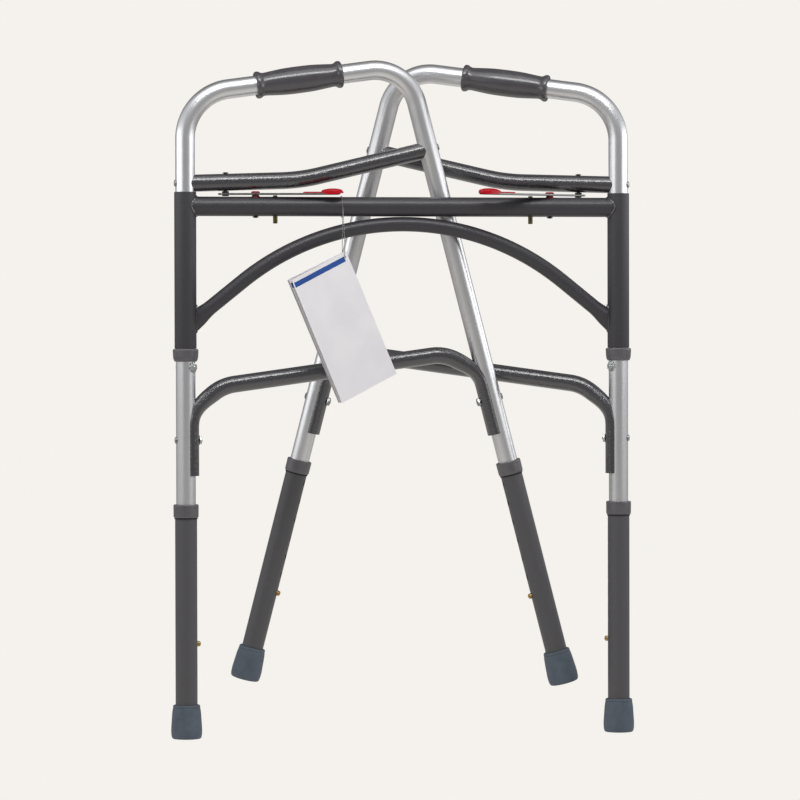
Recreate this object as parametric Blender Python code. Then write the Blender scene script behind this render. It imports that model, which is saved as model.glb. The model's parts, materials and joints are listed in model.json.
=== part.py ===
"""Folding bariatric walking frame, shown folded. Metres, +Z up, front towards -Y.

The front legs stand upright. X runs along the cross tube, and each side frame is
drawn flat, in its own plane, with u measured from its front leg, then turned on that
leg to its folded angle.
"""
import math

import bmesh
import bpy
from mathutils import Matrix, Vector

MM = 0.001
GAP = 0.3 * MM

# Front frame
AXIS_SPACING = 571.5 * MM
SLEEVE_OD = 28.6 * MM
SLEEVE_WALL = 1.2 * MM
SLEEVE_BOTTOM = 506.5 * MM
SLEEVE_TOP = 709.7 * MM
CROSS_OD = 25.4 * MM
CROSS_WALL = 1.6 * MM
CROSS_Z = 691.2 * MM
ARCH_OD = 19.05 * MM
ARCH_CROWN_Z = 668.6 * MM
ARCH_RADIUS = 336.0 * MM
ARCH_SLOPE = math.radians(38.9)
ARCH_END_HALF_HEIGHT = 13.5 * MM
ARCH_END_HALF_DEPTH = 5.0 * MM
ARCH_FLATTEN_LENGTH = 34.0 * MM
SLEEVE_COLLAR_HEIGHT = 16.5 * MM
SLEEVE_COLLAR_OD = 33.5 * MM

# Side frames
LEFT_ANGLE = math.radians(4.6)
RIGHT_ANGLE = math.radians(19.4)
LEG_OD = 25.4 * MM
LEG_WALL = 1.6 * MM
LEG_BOTTOM = 60.0 * MM
REAR_LEAN = math.radians(14.6)
REAR_FOOT_U = 507.6 * MM
REAR_FOOT_Z = 62.6 * MM
HANDLE_Z = 835.8 * MM
HANDLE_RISE = math.radians(8.0)
FRONT_BEND = 66.0 * MM
REAR_BEND = 57.0 * MM
GRIP_U = 150.0 * MM
GRIP_LENGTH = 115.0 * MM
GRIP_FLANGE_OD = 35.5 * MM
GRIP_NECK_OD = 29.8 * MM
GRIP_BARREL_OD = 35.3 * MM

BRACE_OD = 22.2 * MM
BRACE_WALL = 1.6 * MM
UPPER_FRONT_Z = 721.0 * MM
UPPER_RISE = math.radians(2.0)
UPPER_KNEE_U = 152.0 * MM
UPPER_REAR_Z = 767.5 * MM
UPPER_KNEE_RADIUS = 260.0 * MM
LOWER_REF_U = 165.0 * MM
LOWER_REF_Z = 474.0 * MM
LOWER_SLOPE = 0.137
LOWER_BEND = 57.0 * MM
LOWER_BOLT = 387.7 * MM
LOWER_REAR_DROP = 84.0 * MM
LOWER_TAIL = 46.2 * MM
LOWER_LEG_OFFSET = 15.0 * MM
LOWER_CRUSH_LENGTH = 110.0 * MM
LOWER_CRUSH_RUN = 40.0 * MM
SADDLE_OFFSET = 8.0 * MM
SADDLE_HALF_THICKNESS = 9.2 * MM
SADDLE_HALF_WIDTH = 14.0 * MM

# Leg extensions
EXT_OD = 28.6 * MM
EXT_WALL = 1.2 * MM
EXT_TOP = 299.7 * MM
HOLE_BOTTOM = 123.1 * MM
HOLE_PITCH = 25.4 * MM
HOLE_COUNT = 7
BUTTON_OD = 7.0 * MM
BUTTON_REACH = 19.0 * MM
BUTTON_FLANGE_OD = 9.4 * MM
BUTTON_FLANGE = 1.8 * MM
COLLAR_OD = 33.0 * MM
COLLAR_BOTTOM = 287.2 * MM
COLLAR_LIP = 4.5 * MM
FOOT_HEIGHT = 44.0 * MM
FOOT_TOP_OD = 35.5 * MM
FOOT_WIDE_OD = 40.5 * MM
FOOT_WIDE_Z = 12.0 * MM
FOOT_FLOOR = 8.3 * MM

# Fasteners
BOLT_OD = 6.0 * MM
BOLT_HEAD_OD = 11.0 * MM
BOLT_HEAD_HEIGHT = 3.4 * MM
NUT_FLATS = 10.0 * MM
NUT_HEIGHT = 5.0 * MM
BOLT_PAST_NUT = 2.0 * MM
UPPER_BOLT_REACH = 16.0 * MM
STOP_BOLT_OD = 5.0 * MM
STOP_BOLT_TURN = math.radians(30.0)
STOP_BOLT_DROP = 6.3 * MM

# Latch
STUD_U = 53.1 * MM
STUD_OD = 5.0 * MM
STUD_SHOULDER = 2.0 * MM
STUD_HEAD_HEIGHT = 3.0 * MM
STRIP_LIFT = 2.4 * MM
STRIP_BOTTOM = CROSS_Z + CROSS_OD / 2 + STRIP_LIFT
STRIP_THICKNESS = 2.2 * MM
STRIP_WIDTH = 15.0 * MM
STRIP_LENGTH = 147.0 * MM
STRIP_END = 9.8 * MM
PALM_START = 100.5 * MM
PALM_LENGTH = 52.8 * MM
PALM_NECK = 24.0 * MM
PALM_NECK_WIDTH = 11.0 * MM
PALM_TIP_WIDTH = 6.0 * MM
PALM_WIDTH = 21.0 * MM
PALM_HEIGHT = 7.2 * MM
SPOOL_U = 91.7 * MM
SPOOL_OD = 12.0 * MM
CAP_HEIGHT = 2.4 * MM
RIVET_OD = 4.0 * MM
RIVET_HEAD_OD = 8.0 * MM
RIVET_HEAD_HEIGHT = 2.0 * MM
PIN_U = 117.4 * MM
PIN_OD = 6.0 * MM
PIN_BELOW = 9.4 * MM
PIN_ABOVE = 1.8 * MM

# Hang tag
TAG_WIDTH = 90.0 * MM
TAG_LENGTH = 176.0 * MM
TAG_THICKNESS = 2.6 * MM
TAG_FAN = 13.0 * MM
TAG_TILT = math.radians(24.9)
TAG_TURN = math.radians(20.0)
TAG_X = -81.4 * MM
TAG_DROP = 53.6 * MM
TAG_STAND = 20.0 * MM
TAG_INSET = 6.0 * MM
TAG_HOLE = 5.0 * MM
STRING_OD = 1.0 * MM
STRING_SPREAD = 1.2 * MM

SIDES = 14
SMALL_SIDES = 8
LOOP_STEPS = 12

COLOURS = {
    "silver": ((0.68, 0.69, 0.71), 0.32, 1.0),
    "grey_coat": ((0.075, 0.072, 0.078), 0.35, 0.3),
    "extension": ((0.105, 0.1, 0.105), 0.45, 0.3),
    "collar": ((0.12, 0.118, 0.115), 0.5, 0.0),
    "foot": ((0.08, 0.1, 0.13), 0.7, 0.0),
    "grip": ((0.1, 0.092, 0.105), 0.5, 0.0),
    "red": ((0.55, 0.01, 0.03), 0.35, 0.0),
    "brass": ((0.45, 0.3, 0.1), 0.35, 1.0),
    "zinc": ((0.5, 0.5, 0.5), 0.35, 1.0),
    "black": ((0.02, 0.02, 0.022), 0.4, 0.6),
    "card": ((0.85, 0.85, 0.85), 0.6, 0.0),
    "thread": ((0.8, 0.8, 0.8), 0.6, 0.0),
}


def material(slot):
    """The named finish, made once."""
    found = bpy.data.materials.get(slot)
    if found:
        return found
    colour, roughness, metallic = COLOURS[slot]
    made = bpy.data.materials.new(slot)
    made.use_nodes = True
    shader = made.node_tree.nodes["Principled BSDF"]
    shader.inputs["Base Color"].default_value = (*colour, 1.0)
    shader.inputs["Roughness"].default_value = roughness
    shader.inputs["Metallic"].default_value = metallic
    return made


def empty(name, parent=None, location=(0, 0, 0), turn=0.0, axis="Z"):
    """A guide that carries pieces."""
    guide = bpy.data.objects.new(name, None)
    bpy.context.scene.collection.objects.link(guide)
    guide.parent = parent
    guide.matrix_local = Matrix.Translation(location) @ Matrix.Rotation(turn, 4, axis)
    return guide


def add(name, mesh_data, slot, parent, placed=None):
    """A piece in its finish, on its carrier."""
    mesh = bpy.data.meshes.new(name)
    mesh_data.normal_update()
    bmesh.ops.recalc_face_normals(mesh_data, faces=mesh_data.faces)
    mesh_data.to_mesh(mesh)
    mesh_data.free()
    piece = bpy.data.objects.new(name, mesh)
    bpy.context.scene.collection.objects.link(piece)
    piece.parent = parent
    if placed is not None:
        piece.matrix_local = placed
    mesh.shade_smooth()
    mesh.set_sharp_from_angle(angle=math.radians(35))
    mesh.materials.append(material(slot))
    return piece


def cut(piece, cutter):
    """Takes a guide's shape out of a piece."""
    cutter.hide_render = True
    cutter.display_type = "WIRE"
    boolean = piece.modifiers.new("cut", "BOOLEAN")
    boolean.operation = "DIFFERENCE"
    boolean.solver = "EXACT"
    boolean.object = cutter


def rod(name, parent, centre, direction, length, diameter, sides=SMALL_SIDES):
    """A cutter centred on a point of its axis, whose flat sides touch the given diameter."""
    data = bmesh.new()
    radius = diameter / 2 / math.cos(math.pi / sides)
    bmesh.ops.create_cone(data, cap_ends=True, segments=sides, radius1=radius,
                          radius2=radius, depth=length)
    turn = Vector(direction).to_track_quat("Z", "Y").to_matrix().to_4x4()
    return add(name, data, "zinc", parent, Matrix.Translation(centre) @ turn)


def lathe(profile, sides=SIDES, closed=False):
    """Turns a profile of (radius, height) points about Z; closed makes a ring."""
    data = bmesh.new()
    rings = []
    for radius, height in profile:
        if radius < 1e-9:
            rings.append([data.verts.new((0, 0, height))])
            continue
        ring = []
        for step in range(sides):
            angle = 2 * math.pi * step / sides
            ring.append(data.verts.new((radius * math.cos(angle), radius * math.sin(angle), height)))
        rings.append(ring)
    pairs = list(zip(rings, rings[1:]))
    if closed:
        pairs.append((rings[-1], rings[0]))
    for low, high in pairs:
        for step in range(sides):
            after = (step + 1) % sides
            corners = [low[step % len(low)], low[after % len(low)],
                       high[after % len(high)], high[step % len(high)]]
            face = []
            for corner in corners:
                if corner not in face:
                    face.append(corner)
            data.faces.new(face)
    return data


def bent_path(corners, radii, segment=math.radians(12)):
    """Points and tangents along straights joined by round bends, in the (u, z) plane."""
    points = [(corners[0], (corners[1] - corners[0]).normalized())]
    for before, corner, after, radius in zip(corners, corners[1:], corners[2:], radii):
        come = (corner - before).normalized()
        go = (after - corner).normalized()
        turn = come.angle_signed(go)
        reach = radius * math.tan(abs(turn) / 2)
        start = corner - come * reach
        side = Vector((-come.y, come.x)) * (-1 if turn > 0 else 1)
        middle = start + side * radius
        steps = max(2, math.ceil(abs(turn) / segment))
        for step in range(steps + 1):
            spin = Matrix.Rotation(-turn * step / steps, 2)
            points.append((middle + spin @ (start - middle), spin @ come))
    points.append((corners[-1], (corners[-1] - corners[-2]).normalized()))
    return points


def sweep(path, section, sides=SIDES, bore=None):
    """Carries an oval section along a path; bore gives an open tube its inner radius."""
    data = bmesh.new()

    def rings(shape):
        made = []
        for centre, tangent in path:
            in_plane, across, shift = shape(centre, tangent)
            normal = Vector((-tangent.y, tangent.x))
            ring = []
            for step in range(sides):
                angle = 2 * math.pi * step / sides
                flat = centre + normal * (shift + in_plane * math.cos(angle))
                ring.append(data.verts.new((flat.x, across * math.sin(angle), flat.y)))
            made.append(ring)
        return made

    def skin(made):
        for low, high in zip(made, made[1:]):
            for step in range(sides):
                after = (step + 1) % sides
                data.faces.new((low[step], low[after], high[after], high[step]))

    outer = rings(section)
    skin(outer)
    if bore is None:
        data.faces.new(outer[0])
        data.faces.new(outer[-1])
        return data
    inner = rings(lambda centre, tangent: (bore, bore, 0.0))
    skin(inner)
    for low, high in ((outer[0], inner[0]), (outer[-1], inner[-1])):
        for step in range(sides):
            after = (step + 1) % sides
            data.faces.new((low[step], low[after], high[after], high[step]))
    return data


def clear_bore(diameter):
    """Radius of a faceted bore whose flats clear a round piece of the given diameter."""
    return (diameter / 2 + GAP) / math.cos(math.pi / SIDES)


def round_section(radius):
    """A plain round section."""
    return lambda centre, tangent: (radius, radius, 0.0)


def button_head(diameter, height, steps=3):
    """Profile of a domed head, from its rim to its crown."""
    radius = diameter / 2
    rim = 0.25 * height
    points = [(radius, 0.0), (radius, rim)]
    for step in range(1, steps):
        angle = math.pi / 2 * step / steps
        points.append((radius * math.cos(angle), rim + (height - rim) * math.sin(angle)))
    points.append((0.0, height))
    return points


def bolt(name, parent, seat, direction, length, diameter, head_od, head_height, slot="zinc"):
    """A domed bolt whose head sits at seat and whose shank runs along direction."""
    head = [(r, -h) for r, h in button_head(head_od, head_height)]
    profile = list(reversed(head))
    profile += [(diameter / 2, 0.0), (diameter / 2, length - 0.6 * MM)]
    profile += [(diameter / 2 - 0.6 * MM, length), (0.0, length)]
    turn = Vector(direction).to_track_quat("Z", "Y").to_matrix().to_4x4()
    return add(name, lathe(profile, SMALL_SIDES), slot, parent, Matrix.Translation(seat) @ turn)


def nut(name, parent, seat, direction, bore):
    """A hexagon nut with a rounded top, its flat face on seat."""
    corner = 1 / math.cos(math.pi / 6)
    wide = NUT_FLATS / 2 * corner
    inner = bore / 2 * corner
    data = lathe([(inner, 0.0), (wide, 0.0), (wide, 0.8 * NUT_HEIGHT), (0.82 * NUT_FLATS / 2, NUT_HEIGHT),
                  (inner, NUT_HEIGHT)], 6, closed=True)
    turn = Vector(direction).to_track_quat("Z", "Y").to_matrix().to_4x4()
    return add(name, data, "zinc", parent, Matrix.Translation(seat) @ turn)


def sleeve(side, root, x):
    """The tube of the front frame in which a front leg turns."""
    outer = SLEEVE_OD / 2
    inner = outer - SLEEVE_WALL
    profile = [(inner, SLEEVE_BOTTOM), (outer, SLEEVE_BOTTOM), (outer, SLEEVE_TOP), (inner, SLEEVE_TOP)]
    return add(side + "_sleeve", lathe(profile, closed=True), "grey_coat", root,
               Matrix.Translation((x, 0, 0)))


def sleeve_collar(side, root, x):
    """The plastic ring under a sleeve, flat on top and rounded below."""
    top = SLEEVE_BOTTOM - GAP
    bottom = top - SLEEVE_COLLAR_HEIGHT
    radius = SLEEVE_COLLAR_OD / 2
    inner = clear_bore(LEG_OD)
    profile = [(inner, bottom), (radius - 2.4 * MM, bottom), (radius - 1.2 * MM, bottom + 1.6 * MM),
               (radius - 0.7 * MM, bottom + 5 * MM), (radius, top - 1.2 * MM), (radius, top), (inner, top)]
    return add(side + "_sleeve_collar", lathe(profile, closed=True), "collar", root,
               Matrix.Translation((x, 0, 0)))


def cross_tube(root, sleeves, drills):
    """The straight tube between the sleeves, coped on both and drilled for the latches."""
    half = AXIS_SPACING / 2 - SLEEVE_OD / 6
    outer = CROSS_OD / 2
    profile = [(outer - CROSS_WALL, -half), (outer, -half), (outer, half), (outer - CROSS_WALL, half)]
    placed = Matrix.Translation((0, 0, CROSS_Z)) @ Matrix.Rotation(math.pi / 2, 4, "Y")
    piece = add("cross_tube", lathe(profile, closed=True), "grey_coat", root, placed)
    for guide in sleeves + drills:
        cut(piece, guide)


def arch_brace(root, sleeves):
    """The arched tube under the cross tube, its ends pressed flat against the sleeves."""
    half = AXIS_SPACING / 2
    arc_u = ARCH_RADIUS * math.sin(ARCH_SLOPE)
    arc_z = ARCH_CROWN_Z - ARCH_RADIUS * (1 - math.cos(ARCH_SLOPE))
    end_u = half - SLEEVE_OD / 4
    along = Vector((math.cos(ARCH_SLOPE), -math.sin(ARCH_SLOPE)))
    end_length = (end_u - arc_u) / along.x
    right = []
    steps = 5
    for step in range(steps + 1):
        angle = ARCH_SLOPE * step / steps
        middle = Vector((0, ARCH_CROWN_Z - ARCH_RADIUS))
        right.append((middle + ARCH_RADIUS * Vector((math.sin(angle), math.cos(angle))),
                      Vector((math.cos(angle), -math.sin(angle)))))
    for share in (0.0, 0.25, 0.5, 0.75, 1.0):
        reach = end_length - ARCH_FLATTEN_LENGTH * (1 - share)
        right.append((Vector((arc_u, arc_z)) + along * reach, along))
    left = [(Vector((-p.x, p.y)), Vector((t.x, -t.y))) for p, t in reversed(right[1:])]
    radius = ARCH_OD / 2
    flat_from = arc_u + along.x * (end_length - ARCH_FLATTEN_LENGTH)

    def section(centre, tangent):
        share = max(0.0, (abs(centre.x) - flat_from) / (along.x * ARCH_FLATTEN_LENGTH))
        ease = share * share * (3 - 2 * share)
        return (radius + (ARCH_END_HALF_HEIGHT - radius) * ease,
                radius + (ARCH_END_HALF_DEPTH - radius) * ease, 0.0)

    piece = add("arch_brace", sweep(left + right, section, SIDES), "grey_coat", root)
    for guide in sleeves:
        cut(piece, guide)


def latch_seat(side, root, x_spool, x_pin, drills):
    """The spool base, its rivet and the stop pin, set through the cross tube."""
    top = CROSS_Z + CROSS_OD / 2
    bottom = CROSS_Z - CROSS_OD / 2
    tall = CROSS_OD + 20 * MM
    drills.append(rod(side + "_rivet_drill", root, (x_spool, 0, CROSS_Z), (0, 0, 1), tall,
                      RIVET_OD + 2 * GAP))
    drills.append(rod(side + "_pin_drill", root, (x_pin, 0, CROSS_Z), (0, 0, 1), tall,
                      PIN_OD + 2 * GAP))
    saddle = rod(side + "_saddle_guide", root, (x_spool, 0, CROSS_Z), (1, 0, 0), 4 * SPOOL_OD,
                 CROSS_OD + 2 * GAP, SIDES)
    height = STRIP_BOTTOM - GAP
    radius = SPOOL_OD / 2
    bore = RIVET_OD / 2 + GAP
    base = add(side + "_spool_base", lathe([(bore, top - 5 * MM), (radius, top - 5 * MM),
                                           (radius, height), (bore, height)], SMALL_SIDES, closed=True),
               "red", root, Matrix.Translation((x_spool, 0, 0)))
    cut(base, saddle)
    bolt(side + "_spool_rivet", root, (x_spool, 0, bottom - GAP), (0, 0, 1),
         height - GAP - bottom + GAP, RIVET_OD, RIVET_HEAD_OD, RIVET_HEAD_HEIGHT, "black")
    pin = [(0.0, bottom - PIN_BELOW), (PIN_OD / 2 - 0.7 * MM, bottom - PIN_BELOW),
           (PIN_OD / 2, bottom - PIN_BELOW + 0.8 * MM), (PIN_OD / 2, top + PIN_ABOVE - 0.8 * MM),
           (PIN_OD / 2 - 0.8 * MM, top + PIN_ABOVE), (0.0, top + PIN_ABOVE)]
    add(side + "_stop_pin", lathe(pin, SMALL_SIDES), "brass", root, Matrix.Translation((x_pin, 0, 0)))


def rear_point(along, off=0.0):
    """A point on the rear leg, measured up the leg from its foot and outwards from it."""
    up = Vector((-math.sin(REAR_LEAN), math.cos(REAR_LEAN)))
    out = Vector((math.cos(REAR_LEAN), math.sin(REAR_LEAN)))
    return Vector((REAR_FOOT_U, REAR_FOOT_Z)) + up * along + out * off


def meet(point, direction, other, other_direction):
    """Where two lines of the (u, z) plane cross."""
    cross = direction.x * other_direction.y - direction.y * other_direction.x
    gap = other - point
    return point + direction * ((gap.x * other_direction.y - gap.y * other_direction.x) / cross)


def flat(point):
    """A point of the side plane as a point in space."""
    return Vector((point.x, 0, point.y))


def leg_guides(side, frame):
    """Round guides along the front and rear legs, for the braces that hug them."""
    diameter = LEG_OD + 2 * GAP
    front = rod(side + "_front_leg_guide", frame, (0, 0, 0.5), (0, 0, 1), 1.0, diameter, SIDES)
    direction = flat(rear_point(1) - rear_point(0))
    middle = flat(rear_point(0.5))
    rear = rod(side + "_rear_leg_guide", frame, middle, direction, 1.0, diameter, SIDES)
    return front, rear


def side_tube(side, frame, drills):
    """The silver tube: front leg, handle and rear leg in one."""
    handle = Vector((math.cos(HANDLE_RISE), math.sin(HANDLE_RISE)))
    front_corner = Vector((0, HANDLE_Z))
    up = rear_point(1) - rear_point(0)
    rear_corner = meet(front_corner, handle, rear_point(0), up)
    corners = [Vector((0, LEG_BOTTOM)), front_corner, rear_corner, rear_point(LEG_BOTTOM)]
    path = bent_path(corners, (FRONT_BEND, REAR_BEND))
    data = sweep(path, round_section(LEG_OD / 2), SIDES, LEG_OD / 2 - LEG_WALL)
    piece = add(side + "_side_tube", data, "silver", frame)
    for guide in drills:
        cut(piece, guide)


def grip(side, frame):
    """The hand grip: a barrel between necks and end flanges, bored for the handle."""
    half = GRIP_LENGTH / 2
    bore = clear_bore(LEG_OD)
    flange = GRIP_FLANGE_OD / 2
    neck = GRIP_NECK_OD / 2
    barrel = GRIP_BARREL_OD / 2
    outline = [(flange - 1.4 * MM, half), (flange, half - 1.5 * MM), (flange, half - 5.5 * MM),
               (neck + 0.6 * MM, half - 8 * MM), (neck, half - 12 * MM),
               (0.5 * (neck + barrel), half - 24 * MM), (barrel - 0.3 * MM, half - 38 * MM),
               (barrel, 0.0)]
    lower = [(r, -z) for r, z in outline[:-1]]
    profile = [(bore, -half)] + lower + list(reversed(outline)) + [(bore, half)]
    along = Vector((math.cos(HANDLE_RISE), 0, math.sin(HANDLE_RISE)))
    centre = Vector((GRIP_U, 0, HANDLE_Z + GRIP_U * math.tan(HANDLE_RISE)))
    placed = Matrix.Translation(centre) @ along.to_track_quat("Z", "Y").to_matrix().to_4x4()
    add(side + "_grip", lathe(profile, closed=True), "grip", frame, placed)


def upper_line():
    """Corners of the upper brace, from the front leg to the rear leg."""
    start = Vector((LEG_OD / 4, UPPER_FRONT_Z))
    knee = start + Vector((UPPER_KNEE_U - start.x, (UPPER_KNEE_U - start.x) * math.tan(UPPER_RISE)))
    reach = (UPPER_REAR_Z - REAR_FOOT_Z) / math.cos(REAR_LEAN)
    end = rear_point(reach, -LEG_OD / 4)
    return start, knee, end


def upper_brace(side, frame, guides, drills):
    """The upper brace, coped on both legs, with a slight knee."""
    path = bent_path(list(upper_line()), (UPPER_KNEE_RADIUS,), math.radians(4))
    data = sweep(path, round_section(BRACE_OD / 2), SIDES, BRACE_OD / 2 - BRACE_WALL)
    piece = add(side + "_upper_brace", data, "grey_coat", frame)
    for guide in list(guides) + drills:
        cut(piece, guide)


def lower_brace(side, frame, guides, drills):
    """The lower brace, its ends turned down and pressed into saddles round the legs."""
    slope = Vector((1, LOWER_SLOPE)).normalized()
    reference = Vector((LOWER_REF_U, LOWER_REF_Z))
    up = rear_point(1) - rear_point(0)
    rear_bottom = rear_point(lower_rear_bolt() - LOWER_TAIL, -LOWER_LEG_OFFSET)
    front_bottom = Vector((LOWER_LEG_OFFSET, LOWER_BOLT - LOWER_TAIL))
    first = meet(front_bottom, Vector((0, 1)), reference, slope)
    second = meet(rear_bottom, up, reference, slope)
    path = bent_path([front_bottom, first, second, rear_bottom], (LOWER_BEND, LOWER_BEND))
    start, finish = path[0], path[-1]
    pressed = LOWER_CRUSH_LENGTH - LOWER_CRUSH_RUN
    if pressed < (path[-2][0] - finish[0]).length - 1 * MM:
        path.insert(-1, (finish[0] - finish[1] * pressed, finish[1]))
    radius = BRACE_OD / 2

    def section(centre, tangent):
        reach = min((centre - start[0]).length, (centre - finish[0]).length)
        share = min(1.0, max(0.0, (LOWER_CRUSH_LENGTH - reach) / LOWER_CRUSH_RUN))
        ease = share * share * (3 - 2 * share)
        shift = (LOWER_LEG_OFFSET - SADDLE_OFFSET) * ease
        return (radius + (SADDLE_HALF_THICKNESS - radius) * ease,
                radius + (SADDLE_HALF_WIDTH - radius) * ease,
                shift)

    data = sweep(path, section, SIDES)
    piece = add(side + "_lower_brace", data, "grey_coat", frame)
    for guide in list(guides) + drills:
        cut(piece, guide)


def lower_rear_bolt():
    """How far up the rear leg the lower brace is bolted."""
    rear = LOWER_REF_Z + LOWER_SLOPE * (REAR_FOOT_U - LOWER_REF_U)
    return (rear - REAR_FOOT_Z) / math.cos(REAR_LEAN) - LOWER_REAR_DROP


def brace_fasteners(side, frame):
    """The bolts of both braces, with nuts on the lower ones; returns the drills they need."""
    seat = LEG_OD / 2 + GAP
    start, knee, end = upper_line()
    rise = (knee - start).normalized()
    fall = (end - knee).normalized()
    up_leg = (UPPER_REAR_Z - REAR_FOOT_Z) / math.cos(REAR_LEAN)
    out = (rear_point(0, 1) - rear_point(0)).normalized()
    saddle = SADDLE_OFFSET + SADDLE_HALF_THICKNESS + GAP
    hole = BOLT_OD + 2 * GAP
    rear_along = lower_rear_bolt()
    upper_length = seat + UPPER_BOLT_REACH
    lower_length = seat + saddle + NUT_HEIGHT + BOLT_PAST_NUT
    places = {
        "upper_front": (Vector((-seat, UPPER_FRONT_Z)), Vector((1, 0)), upper_length),
        "upper_rear": (rear_point(up_leg, seat), -out, upper_length),
        "lower_front": (Vector((-seat, LOWER_BOLT)), Vector((1, 0)), lower_length),
        "lower_rear": (rear_point(rear_along, seat), -out, lower_length),
    }
    drills = []
    for place, (point, direction, length) in places.items():
        bolt(f"{side}_{place}_bolt", frame, flat(point), flat(direction), length, BOLT_OD,
             BOLT_HEAD_OD, BOLT_HEAD_HEIGHT)
        middle = point + direction * length / 2
        drills.append(rod(f"{side}_{place}_drill", frame, flat(middle), flat(direction),
                          length + BRACE_OD / 2, hole))
    nut(side + "_lower_front_nut", frame, flat(Vector((saddle, LOWER_BOLT))), (1, 0, 0), hole)
    nut(side + "_lower_rear_nut", frame, flat(rear_point(rear_along, -saddle)), flat(-out), hole)
    return drills


def stop_bolt(side, frame, hand):
    """The bolt through the leg that holds up the collar; its head and nut show."""
    height = SLEEVE_BOTTOM - SLEEVE_COLLAR_HEIGHT - STOP_BOLT_DROP
    seat = LEG_OD / 2 + GAP
    direction = Vector((math.cos(STOP_BOLT_TURN), -hand * math.sin(STOP_BOLT_TURN), 0))
    radius = STOP_BOLT_OD / 2
    wide = NUT_FLATS / 2
    span = 2 * seat
    profile = [(0.0, -BOLT_HEAD_HEIGHT), (0.7 * wide, -0.8 * BOLT_HEAD_HEIGHT), (wide, -1.2 * MM),
               (wide, 0.0), (radius, 0.0), (radius, span), (wide, span), (wide, span + 0.8 * MM),
               (0.8 * wide, span + 1.0 * MM), (0.8 * wide, span + 3.6 * MM),
               (radius, span + 4.4 * MM), (0.0, span + 4.8 * MM)]
    start = Vector((0, 0, height)) - direction * seat
    turn = direction.to_track_quat("Z", "Y").to_matrix().to_4x4()
    add(side + "_stop_bolt", lathe(profile, 8), "zinc", frame, Matrix.Translation(start) @ turn)
    return rod(side + "_stop_drill", frame, (0, 0, height), direction, 60 * MM,
               STOP_BOLT_OD + 2 * GAP, 8)


def latch_stud(side, frame):
    """The stud through the upper brace on which the latch strip turns."""
    start, knee, end = upper_line()
    centre = start.y + (STUD_U - start.x) * math.tan(UPPER_RISE)
    radius = STUD_OD / 2
    shoulder = radius + STUD_SHOULDER
    seat = BRACE_OD / 2 / math.cos(UPPER_RISE) + shoulder * math.tan(UPPER_RISE) + GAP
    top = centre + seat
    under = centre - seat
    strip_top = STRIP_BOTTOM + STRIP_THICKNESS + GAP
    flange = STRIP_LIFT / 2
    cap = button_head(2 * shoulder + 1 * MM, STUD_HEAD_HEIGHT)
    profile = [(0.0, STRIP_BOTTOM - GAP - flange), (shoulder, STRIP_BOTTOM - GAP - flange),
               (shoulder, STRIP_BOTTOM - GAP), (radius, STRIP_BOTTOM - GAP), (radius, strip_top),
               (shoulder, strip_top), (shoulder, under), (radius, under), (radius, top)]
    profile += [(r, top + h) for r, h in cap]
    add(side + "_latch_stud", lathe(profile, SMALL_SIDES), "black", frame,
        Matrix.Translation((STUD_U, 0, 0)))
    return rod(side + "_stud_drill", frame, (STUD_U, 0, centre), (0, 0, 1), 3 * BRACE_OD,
               STUD_OD + 2 * GAP, SMALL_SIDES)


def outline_plate(points, bottom, top):
    """A flat plate with the given outline in X and Y."""
    data = bmesh.new()
    lower = [data.verts.new((x, y, bottom)) for x, y in points]
    upper = [data.verts.new((x, y, top)) for x, y in points]
    data.faces.new(lower)
    data.faces.new(upper)
    count = len(points)
    for step in range(count):
        after = (step + 1) % count
        data.faces.new((lower[step], lower[after], upper[after], upper[step]))
    return data


def latch(side, frame, hand, angle):
    """The latch strip with its finger pad and the cap that sits over the spool."""
    ahead = SPOOL_U - STUD_U * math.cos(angle)
    towards = math.atan2(STUD_U * math.sin(angle), ahead)
    pivot = empty(side + "_latch_pivot", frame, (STUD_U, 0, 0), -hand * (towards + angle))
    half = STRIP_WIDTH / 2
    end = STRIP_END - half
    points = []
    steps = 10
    for step in range(steps + 1):
        turn = math.pi / 2 + math.pi * step / steps
        points.append((-end + half * math.cos(turn), half * math.sin(turn)))
    for step in range(steps + 1):
        turn = -math.pi / 2 + math.pi * step / steps
        points.append((STRIP_LENGTH - half + half * math.cos(turn), half * math.sin(turn)))
    strip = add(side + "_latch_strip",
                outline_plate(points, STRIP_BOTTOM, STRIP_BOTTOM + STRIP_THICKNESS), "zinc", pivot)
    hole = rod(side + "_strip_drill", pivot, (0, 0, STRIP_BOTTOM), (0, 0, 1), 6 * STRIP_THICKNESS,
               STUD_OD + 2 * GAP, SMALL_SIDES)
    cut(strip, hole)
    finger_pad(side, pivot)
    reach = math.hypot(ahead, STUD_U * math.sin(angle))
    height = STRIP_BOTTOM + STRIP_THICKNESS + GAP
    radius = SPOOL_OD / 2
    profile = [(0.0, height), (radius - 0.4 * MM, height), (radius, height + 0.5 * MM),
               (radius, height + 0.6 * CAP_HEIGHT), (0.7 * radius, height + CAP_HEIGHT),
               (0.0, height + CAP_HEIGHT)]
    add(side + "_spool_cap", lathe(profile, SMALL_SIDES), "red", pivot,
        Matrix.Translation((reach, 0, 0)))


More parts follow.
